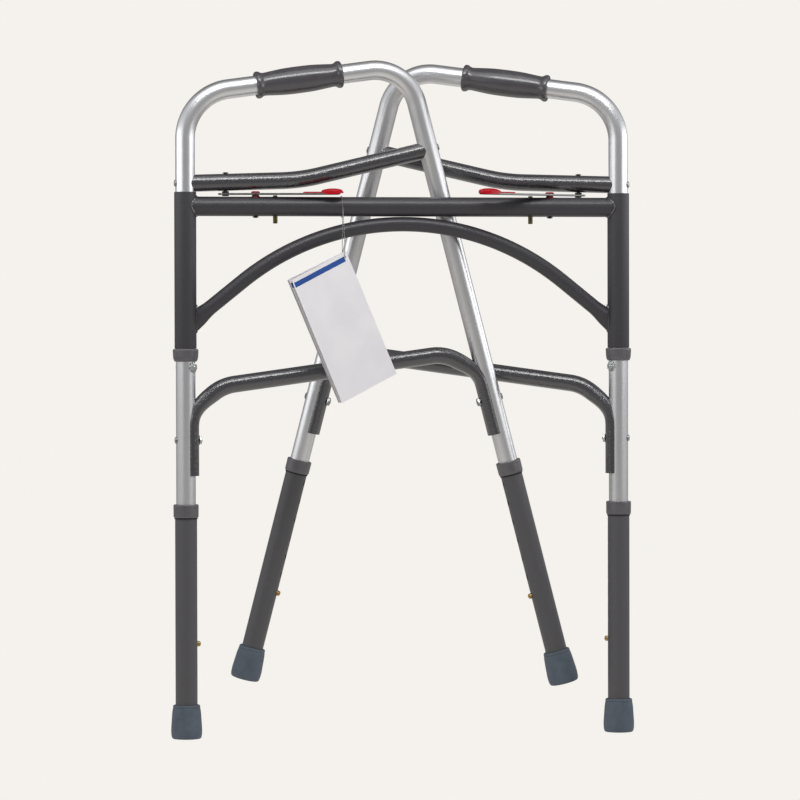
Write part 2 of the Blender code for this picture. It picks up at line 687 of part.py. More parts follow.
def finger_pad(side, pivot):
    """The red pad on the strip: a narrow neck that swells into a domed paddle."""
    bottom = STRIP_BOTTOM + STRIP_THICKNESS + GAP
    wide = PALM_WIDTH / 2
    steps = 9
    data = bmesh.new()
    rings = []
    for step in range(steps + 1):
        along = PALM_LENGTH * step / steps
        beyond = max(0.0, (along - PALM_NECK) / (PALM_LENGTH - PALM_NECK))
        swell = math.sin(math.pi * min(1.0, beyond * 0.93 + 0.02)) if beyond > 0 else 0.0
        narrow = PALM_NECK_WIDTH / 2 if beyond < 0.5 else PALM_TIP_WIDTH / 2
        width = narrow + (wide - narrow) * swell ** 0.6
        height = PALM_HEIGHT * (0.3 + 0.7 * swell ** 0.7)
        ring = []
        for turn in range(9):
            angle = math.pi * turn / 8
            ring.append(data.verts.new((PALM_START + along, width * math.cos(angle),
                                        bottom + height * (0.35 + 0.65 * math.sin(angle)))))
        ring.append(data.verts.new((PALM_START + along, -width, bottom)))
        ring.append(data.verts.new((PALM_START + along, width, bottom)))
        rings.append(ring)
    for low, high in zip(rings, rings[1:]):
        for turn in range(11):
            after = (turn + 1) % 11
            data.faces.new((low[turn], low[after], high[after], high[turn]))
    data.faces.new(rings[0])
    data.faces.new(rings[-1])
    add(side + "_finger_pad", data, "red", pivot)


def extension(side, place, frame, base, turn, inward):
    """A leg extension with its holes, top collar, rubber foot and snap button."""
    name = f"{side}_{place}"
    leg = empty(name + "_leg", frame, base, turn, "Y")
    outer = EXT_OD / 2
    inner = outer - EXT_WALL
    bottom = FOOT_FLOOR + GAP
    tube = add(name + "_extension", lathe([(inner, bottom), (outer, bottom), (outer, EXT_TOP),
                                           (inner, EXT_TOP)], closed=True), "extension", leg)
    for step in range(HOLE_COUNT):
        height = HOLE_BOTTOM + step * HOLE_PITCH
        cut(tube, rod(f"{name}_hole_{step}", leg, (inward * outer, 0, height), (1, 0, 0), outer,
                      BUTTON_OD + 2 * GAP, 8))
    collar = COLLAR_OD / 2
    socket = clear_bore(EXT_OD)
    lip = EXT_TOP + GAP
    top = lip + COLLAR_LIP
    add(name + "_collar", lathe([
        (socket, COLLAR_BOTTOM), (collar - 1.0 * MM, COLLAR_BOTTOM), (collar, COLLAR_BOTTOM + 1.2 * MM),
        (collar, top - 1.5 * MM), (collar - 1.2 * MM, top), (clear_bore(LEG_OD), top),
        (clear_bore(LEG_OD), lip), (socket, lip)], closed=True), "collar", leg)
    add(name + "_foot", lathe(foot_profile(socket)), "foot", leg)
    button(name, leg, inward)
    return rod(name + "_button_drill", leg, (inward * LEG_OD / 2, 0, HOLE_BOTTOM), (1, 0, 0),
               LEG_OD / 2, BUTTON_OD + 2 * GAP, 8)


def foot_profile(socket):
    """Section of a rubber foot, from the centre of its sole to its socket."""
    wide = FOOT_WIDE_OD / 2
    top = FOOT_TOP_OD / 2
    return [(0.0, 0.0), (wide - 2.2 * MM, 0.0), (wide - 0.7 * MM, 1.0 * MM), (wide, 3.5 * MM),
            (wide, FOOT_WIDE_Z), (top + 0.3 * MM, FOOT_HEIGHT - 9 * MM), (top, FOOT_HEIGHT - 3 * MM),
            (top - 1.3 * MM, FOOT_HEIGHT), (socket, FOOT_HEIGHT), (socket, FOOT_FLOOR), (0.0, FOOT_FLOOR)]


def button(name, leg, inward):
    """The snap button: a flange inside the leg and a domed stem through both walls."""
    radius = BUTTON_OD / 2
    bore = (LEG_OD / 2 - LEG_WALL) * math.cos(math.pi / SIDES)
    inside = math.sqrt(bore ** 2 - (BUTTON_FLANGE_OD / 2) ** 2) - GAP
    profile = [(0.0, inside - BUTTON_FLANGE), (BUTTON_FLANGE_OD / 2, inside - BUTTON_FLANGE),
               (BUTTON_FLANGE_OD / 2, inside), (radius, inside), (radius, BUTTON_REACH - 2.0 * MM),
               (0.8 * radius, BUTTON_REACH - 0.7 * MM), (0.0, BUTTON_REACH)]
    turn = Vector((inward, 0, 0)).to_track_quat("Z", "Y").to_matrix().to_4x4()
    add(name + "_button", lathe(profile, 8), "brass", leg,
        Matrix.Translation((0, 0, HOLE_BOTTOM)) @ turn)


def side_frame(side, root, hand, angle):
    """One side frame with all that turns with it about its front leg."""
    x = -hand * AXIS_SPACING / 2
    turn = angle if hand > 0 else math.pi - angle
    frame = empty(side + "_frame", root, (x, 0, 0), turn)
    guides = leg_guides(side, frame)
    drills = brace_fasteners(side, frame)
    stop = stop_bolt(side, frame, hand)
    stud_drill = latch_stud(side, frame)
    front_drill = extension(side, "front", frame, (0, 0, 0), 0.0, 1)
    rear_drill = extension(side, "rear", frame, flat(rear_point(0)), -REAR_LEAN, -1)
    side_tube(side, frame, drills + [stop, front_drill, rear_drill])
    grip(side, frame)
    upper_brace(side, frame, guides, drills[:2] + [stud_drill])
    lower_brace(side, frame, guides, drills[2:])
    latch(side, frame, hand, angle)


def hang_tag(root):
    """The blank booklet, fanned open at its free edge, that hangs by its top corner."""
    swing = empty("tag_swing", root, (TAG_X, 0, CROSS_Z))
    hole = Vector((0, -TAG_STAND, -CROSS_OD / 2 - TAG_DROP))
    face = Matrix.Rotation(TAG_TURN, 4, "Z")
    spine = TAG_INSET
    edge = TAG_INSET - TAG_WIDTH
    top = TAG_INSET
    bottom = TAG_INSET - TAG_LENGTH
    data = bmesh.new()
    ends = []
    for height in (bottom, top):
        ends.append([data.verts.new((x, y, height)) for x, y in (
            (edge, -TAG_FAN / 2), (spine, -TAG_THICKNESS / 2), (spine, TAG_THICKNESS / 2),
            (edge, TAG_FAN / 2))])
        data.faces.new(ends[-1])
    for step in range(4):
        after = (step + 1) % 4
        data.faces.new((ends[0][step], ends[0][after], ends[1][after], ends[1][step]))
    placed = Matrix.Translation(hole) @ face @ Matrix.Rotation(-TAG_TILT, 4, "Y")
    card = add("hang_tag", data, "card", swing, placed)
    through = face @ Vector((0, 1, 0))
    cut(card, rod("tag_hole", swing, hole, through, 2 * TAG_FAN, TAG_HOLE))
    tag_string(swing, hole, through)


def tag_string(swing, hole, through):
    """The thread: through the hole, up, once round the cross tube and down again."""
    loop = (CROSS_OD / 2 + STRING_OD / 2 + GAP) / math.cos(math.pi / LOOP_STEPS)
    thick = TAG_THICKNESS + (TAG_FAN - TAG_THICKNESS) * TAG_INSET / TAG_WIDTH
    clear = through * (thick / 2 + STRING_OD / 2 + GAP)
    rise = Vector((0, 0, 2 * TAG_INSET))
    aside = Vector((STRING_SPREAD / 2, 0, 0))
    below = Vector((0, -loop, -CROSS_OD / 2))
    behind = hole + clear + rise - aside
    start = behind.lerp(below - aside, 0.5)
    points = [start, behind, hole + clear, hole - clear, hole - clear + rise + aside, below + aside]
    for step in range(LOOP_STEPS + 1):
        turn = 2 * math.pi * step / LOOP_STEPS
        points.append(aside * (1 - 2 * step / LOOP_STEPS)
                      + Vector((0, -loop * math.cos(turn), -loop * math.sin(turn))))
    points += [below - aside, start + (below - aside - start).normalized() * STRING_OD / 2]
    thread = bpy.data.curves.new("tag_string", "CURVE")
    thread.dimensions = "3D"
    thread.bevel_depth = STRING_OD / 2
    thread.bevel_resolution = 0
    thread.use_fill_caps = True
    spline = thread.splines.new("POLY")
    spline.points.add(len(points) - 1)
    for place, point in zip(spline.points, points):
        place.co = (*point, 1.0)
    piece = bpy.data.objects.new("tag_string", thread)
    bpy.context.scene.collection.objects.link(piece)
    piece.parent = swing
    thread.materials.append(material("thread"))


def centre_on_floor(root):
    """Moves the part back so that its origin is at the bottom centre of its bounds."""
    graph = bpy.context.evaluated_depsgraph_get()
    depths = []
    for piece in bpy.context.scene.objects:
        if piece.type != "EMPTY" and not piece.hide_render:
            shape = piece.evaluated_get(graph)
            depths += [(piece.matrix_world @ vertex.co).y for vertex in shape.to_mesh().vertices]
            shape.to_mesh_clear()
    root.location.y -= (min(depths) + max(depths)) / 2


def main():
    for old in list(bpy.data.objects):
        bpy.data.objects.remove(old, do_unlink=True)
    root = empty("walking_frame")
    half = AXIS_SPACING / 2
    sleeves = []
    drills = []
    for side, hand in (("left", 1), ("right", -1)):
        x = -hand * half
        sleeve(side, root, x)
        sleeve_collar(side, root, x)
        sleeves.append(rod(side + "_sleeve_guide", root, (x, 0, CROSS_Z), (0, 0, 1), 0.6,
                           SLEEVE_OD + 2 * GAP, SIDES))
        latch_seat(side, root, x + hand * SPOOL_U, x + hand * PIN_U, drills)
    cross_tube(root, sleeves, drills)
    arch_brace(root, sleeves)
    side_frame("left", root, 1, LEFT_ANGLE)
    side_frame("right", root, -1, RIGHT_ANGLE)
    hang_tag(root)
    centre_on_floor(root)


main()
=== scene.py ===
"""Looks of the folding bariatric walking frame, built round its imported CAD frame.

+Z up, front towards -Y. Sizes and places are in millimetres; skin and rod make metres of them.
Each side frame is drawn flat, u from its front leg and z up, and placed by the record's joints.
"""
import json
from math import asin, atan2, ceil, cos, hypot, pi, radians, sin, sqrt, tan

import bmesh
import bpy
from mathutils import Matrix, Vector


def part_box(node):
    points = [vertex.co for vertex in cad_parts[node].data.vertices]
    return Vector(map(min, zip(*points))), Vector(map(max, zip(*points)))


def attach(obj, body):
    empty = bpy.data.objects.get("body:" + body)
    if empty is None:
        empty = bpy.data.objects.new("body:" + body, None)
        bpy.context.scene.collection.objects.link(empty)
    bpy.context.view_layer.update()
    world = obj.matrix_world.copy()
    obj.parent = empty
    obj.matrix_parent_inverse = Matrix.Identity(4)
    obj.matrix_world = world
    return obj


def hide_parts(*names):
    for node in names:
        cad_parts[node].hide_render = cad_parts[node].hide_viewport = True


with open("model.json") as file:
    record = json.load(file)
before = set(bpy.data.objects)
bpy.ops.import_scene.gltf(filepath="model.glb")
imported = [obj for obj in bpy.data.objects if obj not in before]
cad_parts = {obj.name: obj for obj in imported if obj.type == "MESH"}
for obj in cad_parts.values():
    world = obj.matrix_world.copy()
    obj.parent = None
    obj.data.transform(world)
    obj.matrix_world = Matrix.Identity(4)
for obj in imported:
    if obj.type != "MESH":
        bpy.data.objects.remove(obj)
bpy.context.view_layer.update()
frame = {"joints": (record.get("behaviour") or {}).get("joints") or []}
JOINTS = {joint["name"]: joint for joint in frame["joints"]}
WAYS = (("left", -1), ("right", 1))
UP = Vector((0, 0, 1))
MM = 0.001
TO_METRES = Matrix.Scale(MM, 4)
shift = Matrix.Translation

# Room between pieces that only seem to touch
GAP = 0.3

# Sizes of the front frame, as the CAD source has them
SLEEVE_OD = 28.6
SLEEVE_WALL = 1.2
SLEEVE_BOTTOM = 506.5
SLEEVE_TOP = 709.7
SLEEVE_COLLAR_HEIGHT = 16.5
SLEEVE_COLLAR_OD = 33.5
CROSS_OD = 25.4
CROSS_Z = 691.2
CROSS_BEAD = 1.4
ARCH_OD = 19.05
ARCH_CROWN_Z = 668.6
ARCH_RADIUS = 336
ARCH_SLOPE = radians(38.9)
ARCH_END_HALF_HEIGHT = 13.5
ARCH_END_HALF_DEPTH = 5
ARCH_FLATTEN_LENGTH = 34
ARCH_COPE_ROOM = 12
ARCH_BEAD = 1.2
RIPPLE = 0.12
RIPPLE_TURN = 1.9
VENT_INSET = 26.5
VENT_Z = 544.6
VENT_OD = 3.2

# Sizes of the side frames
LEG_OD = 25.4
LEG_WALL = 1.6
LEG_BOTTOM = 60
REAR_FOOT_U = 507.6
REAR_FOOT_Z = 62.6
HANDLE_Z = 835.8
HANDLE_RISE = radians(8)
FRONT_BEND = 66
REAR_BEND = 57
GRIP_U = 150
GRIP_LENGTH = 115
GRIP_FLANGE_OD = 35.5
GRIP_NECK_OD = 29.8
GRIP_BARREL_OD = 35.3
BRACE_OD = 22.2
UPPER_FRONT_Z = 721
UPPER_RISE = radians(2)
UPPER_KNEE_U = 152
UPPER_REAR_Z = 767.5
UPPER_KNEE_RADIUS = 260
LOWER_REF_U = 165
LOWER_REF_Z = 474
LOWER_SLOPE = 0.137
LOWER_BEND = 57
LOWER_BOLT = 387.7
LOWER_REAR_DROP = 84
LOWER_TAIL = 46.2
LOWER_LEG_OFFSET = 15
LOWER_CRUSH_LENGTH = 110
LOWER_CRUSH_RUN = 40
LOWER_RING_PITCH = 3
SADDLE_OFFSET = 8
SADDLE_HALF_THICKNESS = 9.2
SADDLE_HALF_WIDTH = 14

# Sizes of the leg extensions
EXT_OD = 28.6
EXT_WALL = 1.2
EXT_TOP = 299.7
HOLE_BOTTOM = 123.1
HOLE_PITCH = 25.4
HOLE_COUNT = 7
BUTTON_OD = 7
BUTTON_REACH = 19
BUTTON_INSIDE = 9.5
BUTTON_DOME = 2.6
COLLAR_OD = 33
COLLAR_BOTTOM = 287.2
COLLAR_LIP = 4.5
# Height of the black ring under each top ring, painted as the shadow of the gap below it
SHADOW_RING_HEIGHT = 1.8
FOOT_HEIGHT = 44
FOOT_TOP_OD = 35.5
FOOT_WIDE_OD = 40.5
FOOT_WIDE_Z = 12
FOOT_FLOOR = 8.3
FOOT_GROOVES = (4.0, 7.6, 11.2, 14.8)

# Sizes of the fasteners
BOLT_OD = 6
BOLT_HEAD_OD = 8.6
BOLT_HEAD_HEIGHT = 1.7
THREAD_LENGTH = 14
THREAD_PITCH = 1
NUT_FLATS = 10
NUT_HEIGHT = 3.2
UPPER_GRIP = 16
SHANK_SHOWN = 0.8
STOP_BOLT_OD = 5
STOP_BOLT_TURN = radians(50)
STOP_BOLT_DROP = 7.6
STOP_NUT_OD = 14.2

# Sizes of the latches
STUD_U = 53.1
STUD_OD = 5
STRIP_LIFT = 2.4
STRIP_BOTTOM = CROSS_Z + CROSS_OD / 2 + STRIP_LIFT
STRIP_THICKNESS = 2.2
STRIP_WIDTH = 15
STRIP_LENGTH = 147
STRIP_END = 9.8
STRIP_EDGE = 0.35
PALM_START = 100.5
PALM_LENGTH = 52.8
PALM_NECK = 24
PALM_NECK_WIDTH = 11
PALM_TIP_WIDTH = 6
PALM_WIDTH = 21
PALM_HEIGHT = 6
SPOOL_U = 91.7
SPOOL_OD = 12
CAP_HEIGHT = 2.4
RIVET_OD = 4
RIVET_HEAD_OD = 8
RIVET_HEAD_HEIGHT = 2
PIN_U = 117.4
PIN_OD = 6
PIN_BELOW = 9.4
PIN_ABOVE = 1.8

# Sizes of the hang tag; leaves are placed by their share of its depth
TAG_WIDTH = 90
TAG_LENGTH = 176
TAG_THICKNESS = 2.6
TAG_FAN = 13
TAG_TILT = radians(24.9)
TAG_TURN = radians(20)
TAG_DROP = 53.6
TAG_STAND = 20
TAG_INSET = 6
TAG_HOLE = 5
TAG_CLOSE = 0.5
TAG_CURL = 1.3
TAG_SWING = radians(12.5)
TAG_PAGES = 14
PAGES_FROM = 0.045
PAGES_SHARE = 0.91
PAGE_FILL = 0.82
MARKED_LEAF = 0.62
COVER_LEAVES = ((0.0, 0.035), (0.965, 1.0), (MARKED_LEAF, MARKED_LEAF + 0.03))
BAND_TOP = 5
BAND_HEIGHT = 6.8
STRING_OD = 1
STRING_SPREAD = 1.2
LOOP_STEPS = 28

# Fineness of the visible meshes
SIDES = 56
SMALL_SIDES = 32
SMALL_RADIUS = 10
BEND_STEP = radians(2.5)

# Camera, placed from the middle of the front legs' plane at floor height
CAMERA_LENS = 174.87
CAMERA_PLACE = Vector((-714.9, -5030.8, 517.3))
CAMERA_YAW = radians(8.032)
CAMERA_PITCH = radians(0.885)
CAMERA_ROLL = radians(-0.118)

# The floor lies below the feet by as much as the legs can be let out
FLOOR_DROP = 158
FLOOR_SIZE = 40000

# Lights: place and aim from the same point as the camera, width, height and brightness
LIGHTS = {
    "key_softbox": ((0, -1080, 1900), (0, 0, 720), 1400, 360, 7.5),
    "top_softbox": ((0, -520, 2100), (0, 0, 720), 3000, 700, 1.1),
    "left_panel": ((-1500, -500, 880), (0, -500, 800), 2200, 440, 1.3),
    "right_panel": ((1500, -500, 880), (0, -500, 800), 2200, 440, 1.7),
}

# The backdrop's colour, and how bright the room and the floor are as light
BACKDROP = (0.913, 0.888, 0.846, 1)
ROOM_COLOUR = (0.97, 0.98, 1.0, 1)
ROOM_FRONT = 0.3
ROOM_BEHIND = 0.14
ROOM_SIDES = 0.62
FLOOR_NEAR = 0.76
FLOOR_FAR = 0.3


# Finishes

class Nodes:
    """A node tree, with short calls for its nodes."""

    def __init__(self, tree):
        self.tree = tree

    def feed(self, made, inputs):
        """Links or sets a node's inputs, by name or number."""
        for key, value in inputs.items():
            socket = made.inputs[key.replace("_", " ") if isinstance(key, str) else key]
            if isinstance(value, bpy.types.NodeSocket):
                self.tree.links.new(value, socket)
            else:
                socket.default_value = value
        return made

    def node(self, kind, **inputs):
        return self.feed(self.tree.nodes.new("ShaderNode" + kind), inputs)

    def place(self, kind="Object"):
        return self.node("TexCoord").outputs[kind]

    def noise(self, scale, detail=2.0, rough=0.5, vector=None):
        place = self.place() if vector is None else vector
        made = self.node("TexNoise", Vector=place, Scale=scale, Detail=detail, Roughness=rough)
        return made.outputs["Fac"]

    def ramp(self, value, low, high, ends=(0.35, 0.65)):
        made = self.node("ValToRGB", Fac=value)
        for element, colour, end in zip(made.color_ramp.elements, (low, high), ends):
            element.color = (*colour, 1.0)
            element.position = end
        return made.outputs["Color"]

    def spread(self, value, low, high, come=0.3, go=0.7):
        made = self.node("MapRange", Value=value, From_Min=come, From_Max=go, To_Min=low, To_Max=high)
        return made.outputs["Result"]

    def bump(self, height, distance, strength):
        return self.node("Bump", Height=height, Distance=distance, Strength=strength).outputs["Normal"]

    def maths(self, operation, first, second=0.0):
        made = self.node("Math")
        made.operation = operation
        return self.feed(made, {0: first, 1: second}).outputs["Value"]


class Finish(Nodes):
    """A procedural material."""

    def __init__(self, name):
        self.material = bpy.data.materials.new(name)
        self.material.use_nodes = True
        super().__init__(self.material.node_tree)

    def done(self, colour, rough, **more):
        """Sets what the shader shows and gives back the material."""
        self.feed(self.tree.nodes["Principled BSDF"], {"Base Color": colour, "Roughness": rough, **more})
        return self.material


def anodised():
    """Satin drawn aluminium: fine lines along the tube and a soft uneven sheen."""
    look = Finish("anodised_silver")
    drawn = look.node("Mapping", Vector=look.place("UV"), Scale=(2600, 12, 1.0))
    lines = look.noise(1.0, 3.0, 0.6, drawn.outputs["Vector"])
    clouds = look.ramp(look.noise(22, 3.0), (0.765, 0.768, 0.785), (0.81, 0.813, 0.825))
    return look.done(clouds, look.spread(lines, 0.29, 0.36), Metallic=1.0,
                     Normal=look.bump(lines, 0.00002, 0.35))


def powder(name, dark, light, rough, grain, depth, gloss=0.6, coat=0.0):
    """Sprayed powder coat: orange peel and fine flecks over a dark grey."""
    look = Finish(name)
    peel = look.noise(grain, 2.0, 0.55)
    flecks = look.ramp(look.noise(grain * 2.6, 1.0), dark, light, (0.42, 0.66))
    return look.done(flecks, look.spread(peel, rough, rough + 0.1), Normal=look.bump(peel, depth, 0.8),
                     Specular_IOR_Level=gloss, Coat_Weight=coat, Coat_Roughness=0.1)


def moulded(name, dark, light, rough, grain=900, depth=0.00006, sheen=0.5):
    """Moulded plastic or rubber with a slightly mottled skin."""
    look = Finish(name)
    mottle = look.noise(60, 4.0, 0.6)
    return look.done(look.ramp(mottle, dark, light), look.spread(mottle, rough, rough + 0.12),
                     Normal=look.bump(look.noise(grain), depth, 0.5), Specular_IOR_Level=sheen)


def plated(name, dark, light, rough, grain=180):
    """Bright plated or bare metal with small stains."""
    look = Finish(name)
    stains = look.noise(grain, 4.0, 0.65)
    return look.done(look.ramp(stains, dark, light), look.spread(stains, rough, rough + 0.15), Metallic=1.0,
                     Normal=look.bump(look.noise(1400), 0.00004, 0.4))


def paper(name, dark, light, rough):
    """Coated paper with a faint fibre grain."""
    look = Finish(name)
    fibre = look.noise(900, 3.0, 0.6)
    return look.done(look.ramp(look.noise(25), dark, light), rough, Normal=look.bump(fibre, 0.00003, 0.3))


def nylon():
    """Clear nylon thread that lets most of what is behind it through."""
    look = Finish("nylon_thread")
    twist = look.noise(1200)
    return look.done(look.ramp(twist, (0.72, 0.73, 0.74), (0.9, 0.9, 0.9)), look.spread(twist, 0.15, 0.3),
                     Transmission_Weight=0.88, IOR=1.15)


FINISHES = dict(
    anodised_tube=anodised(),
    powder_coat=powder(
        "grey_powder_coat", (0.0365, 0.0345, 0.039), (0.057, 0.054, 0.06), 0.4, 620, 0.00012, 0.5),
    gloss_coat=powder(
        "gloss_powder_coat", (0.027, 0.025, 0.03), (0.046, 0.043, 0.05), 0.13, 380, 0.0007, 0.9, 0.95),
    satin_coat=powder(
        "satin_powder_coat", (0.0345, 0.0325, 0.0385), (0.055, 0.052, 0.0595), 0.34, 620, 0.00012, 0.5, 0.1),
    coated_extension=powder(
        "textured_grey_coat", (0.069, 0.067, 0.073), (0.098, 0.094, 0.101), 0.42, 900, 0.00014),
    grey_plastic=moulded("grey_plastic_ring", (0.086, 0.079, 0.089), (0.108, 0.1, 0.111), 0.3, sheen=0.95),
    rubber_foot=moulded(
        "blue_grey_rubber", (0.081, 0.103, 0.131), (0.103, 0.13, 0.163), 0.5, 500, 0.0001, 0.35),
    vinyl_grip=moulded("grey_vinyl", (0.052, 0.048, 0.055), (0.064, 0.059, 0.067), 0.17, 900, 0.00004, 1.0),
    red_plastic=moulded(
        "red_plastic_gloss", (0.47, 0.003, 0.012), (0.55, 0.006, 0.02), 0.2, 700, 0.00003, 0.25),
    dull_red=moulded("dull_red_plastic", (0.27, 0.015, 0.025), (0.35, 0.022, 0.035), 0.32, 700, 0.00003),
    # red plastic darkened as painted shade, for the spool foot in the gap between strip and cross tube
    red_painted_shade=moulded("dark_red_plastic", (0.13, 0.003, 0.01), (0.18, 0.005, 0.014), 0.3, 700, 0.00003),
    stud_black=moulded("stud_black", (0.017, 0.016, 0.018), (0.026, 0.025, 0.028), 0.38),
    # near-black for the thin ring under each top ring: painted shadow of the gap
    black_seal=moulded("black_seal", (0.01, 0.01, 0.01), (0.016, 0.015, 0.016), 0.7),
    brass=plated("brass_plate", (0.3, 0.19, 0.065), (0.5, 0.33, 0.12), 0.22),
    # brass darkened as painted shade, for the stop pins that sit under the latch strips
    aged_brass=plated("aged_brass", (0.09, 0.075, 0.035), (0.2, 0.155, 0.07), 0.3),
    dull_zinc=plated("dull_zinc", (0.2, 0.22, 0.215), (0.62, 0.65, 0.635), 0.2, 520),
    star_zinc=plated("star_washer_zinc", (0.3, 0.33, 0.32), (0.8, 0.83, 0.81), 0.2, 620),
    strip_steel=plated("strip_steel", (0.2, 0.205, 0.2), (0.33, 0.34, 0.33), 0.28, 240),
    black_steel=plated("black_oxide", (0.012, 0.012, 0.013), (0.035, 0.034, 0.035), 0.3),
    card=paper("coated_card", (0.87, 0.85, 0.885), (0.92, 0.9, 0.925), 0.5),
    # grey paper for the pages: painted shade on the fanned page edges
    pages=paper("page_edges", (0.4, 0.395, 0.39), (0.5, 0.495, 0.49), 0.8),
    blue_ink=paper("blue_print", (0.006, 0.065, 0.3), (0.009, 0.08, 0.36), 0.6),
    thread=nylon(),
)


# Places and numbers

def joint_place(name):
    """A joint's place in millimetres."""
    return Vector(JOINTS[name]["pos_m"]) / MM


def aim(seat, direction):
    """A placing whose Z runs along a direction from a seat."""
    return shift(seat) @ Vector(direction).to_track_quat("Z", "Y").to_matrix().to_4x4()


def flat(point):
    """A point of a side plane as a point in space."""
    return Vector((point.x, 0, point.y))


def meet(point, direction, other, other_direction):
    """Where two lines of the (u, z) plane cross."""
    cross = direction.x * other_direction.y - direction.y * other_direction.x
    gap = other - point
    return point + direction * ((gap.x * other_direction.y - gap.y * other_direction.x) / cross)


def reach_round(point, direction, axis_point, axis, radius):
    """Where a line first meets a round tube, or its nearest point to the tube's axis."""
    gap, way = (vector - axis * vector.dot(axis) for vector in (point - axis_point, direction))
    a, b, c = way.dot(way), gap.dot(way), gap.dot(gap) - radius * radius
    root = b * b - a * c
    along = (-b - sqrt(root)) / a if root > 0 else -b / a
    return point + direction * along


def clamp(value):
    return min(1.0, max(0.0, value))


def ease(value):
    """A share between 0 and 1 that starts and ends gently."""
    share = clamp(value)
    return share * share * (3 - 2 * share)


def angles(count):
    """The angles of equal steps round a circle."""
    return [2 * pi * step / count for step in range(count)]


# Meshes

def soften(corners, steps=4):
    """A profile of (radius, height, rounding) corners as plain points, its corners rounded."""
    points = []
    for before, (x, y, rounding), after in zip([None] + corners[:-1], corners, corners[1:] + [None]):
        corner = Vector((x, y))
        if before is None or after is None or rounding <= 0:
            points.append(corner)
            continue
        come = Vector(before[:2]) - corner
        go = Vector(after[:2]) - corner
        reach = min(rounding, 0.49 * come.length, 0.49 * go.length)
        start, finish = corner + come.normalized() * reach, corner + go.normalized() * reach
        for step in range(steps + 1):
            share = step / steps
            points.append(start.lerp(corner, share).lerp(corner.lerp(finish, share), share))
    return points


def skin(rings, closed=False, caps=True):
    """A mesh in metres over rings of equally many points, with UVs round and along it."""
    data = bmesh.new()
    layer = data.loops.layers.uv.new("metres")
    count = len(rings[0])
    made = [[data.verts.new([value * MM for value in point]) for point in ring] for ring in rings]
    rings = [[Vector(point) for point in ring] for ring in rings]
    middles = [sum(ring, Vector()) / count for ring in rings]
    widest = max(rings, key=lambda ring: (ring[0] - ring[count // 2]).length)
    around = [0.0]
    for step in range(count):
        around.append(around[-1] + (widest[step] - widest[(step + 1) % count]).length)
    along = 0.0
    for low in range(len(made) if closed else len(made) - 1):
        high = (low + 1) % len(made)
        reach = max((middles[high] - middles[low]).length, (rings[high][0] - rings[low][0]).length)
        for step in range(count):
            corners = ((low, step, 0), (low, step + 1, 0), (high, step + 1, reach), (high, step, reach))
            face = data.faces.new([made[ring][turn % count] for ring, turn, ahead in corners])
            for loop, (ring, turn, ahead) in zip(face.loops, corners):
                loop[layer].uv = Vector((around[turn], along + ahead)) * MM
        along += reach
    if caps and not closed:
        data.faces.new(made[0])
        data.faces.new(made[-1])
    bmesh.ops.remove_doubles(data, verts=data.verts, dist=1e-7)
    return data


def circle(height, radius, sides):
    """Points round Z, at one radius or at the one that a function gives for each step."""
    points = []
    for step, turn in enumerate(angles(sides)):
        size = radius(step) if callable(radius) else radius
        points.append((size * cos(turn), size * sin(turn), height))
    return points


def lathe(profile):
    """Turns (radius, height) points about Z, into a ring where they stay off it."""
    sides = SIDES if max(radius for radius, height in profile) > SMALL_RADIUS else SMALL_SIDES
    closed = 0 not in (profile[0][0], profile[-1][0])
    return skin([circle(height, radius, sides) for radius, height in profile], closed, caps=False)


def turned(corners, steps=4):
    """Turns (radius, height, rounding) corners about Z."""
    return lathe(soften(corners, steps))


def dome(radius, height, seat=0.0, way=1, steps=8, rim=0.25):
    """Profile of a domed head, from its rim at the seat to its crown, up or down."""
    points = [(radius, seat), (radius, seat + way * rim * height)]
    for step in range(1, steps + 1):
        angle = pi / 2 * step / steps
        points.append((radius * cos(angle), seat + way * height * (rim + (1 - rim) * sin(angle))))
    return points


def bent_path(corners, radii, segment=BEND_STEP):
    """Points and tangents along straights joined by round bends, in the (u, z) plane."""
    points = [(corners[0], (corners[1] - corners[0]).normalized())]
    for before, corner, after, radius in zip(corners, corners[1:], corners[2:], radii):
        come = (corner - before).normalized()
        go = (after - corner).normalized()
        turn = come.angle_signed(go)
        start = corner - come * radius * tan(abs(turn) / 2)
        side = Vector((-come.y, come.x)) * (-1 if turn > 0 else 1)
        middle = start + side * radius
        steps = max(2, ceil(abs(turn) / segment))
        for step in range(steps + 1):
            spin = Matrix.Rotation(-turn * step / steps, 2)
            points.append((middle + spin @ (start - middle), spin @ come))
    points.append((corners[-1], (corners[-1] - corners[-2]).normalized()))
    return points


def sweep(path, section):
    """Rings along a path, of one radius or of the (half width, half depth, shift) at each centre."""
    rings = []
    for centre, tangent in path:
        in_plane, across, offset = section(centre) if callable(section) else (section, section, 0)
        normal = Vector((-tangent.y, tangent.x))
        ring = []
        for turn in angles(SIDES):
            point = centre + normal * (offset + in_plane * cos(turn))
            ring.append(Vector((point.x, across * sin(turn), point.y)))
        rings.append(ring)
    return rings


def tube(path, radius, wall, bevel=0.4):
    """An open tube along a path, its ends slightly rounded."""
    first, last = path[0], path[-1]
    outer = [(first[0] + first[1] * bevel, first[1])] + path[1:-1] + [(last[0] - last[1] * bevel, last[1])]
    rings = sweep([first], radius - bevel) + sweep(outer, radius) + sweep([last], radius - bevel)
    return skin(rings + sweep(path[::-1], radius - wall), closed=True)


def bead(points, radius):
    """A closed weld bead of small ripples through a loop of points."""
    count = len(points)
    centre = sum(points, Vector()) / count
    rings = []
    for step, point in enumerate(points):
        ahead = (points[(step + 1) % count] - points[step - 1]).normalized()
        across = ahead.cross((point - centre).normalized()).normalized()
        out = across.cross(ahead).normalized()
        size = radius * (1 + RIPPLE * sin(RIPPLE_TURN * step))
        rings.append([point + (out * cos(turn) + across * sin(turn)) * size for turn in angles(10)])
    return skin(rings, closed=True)


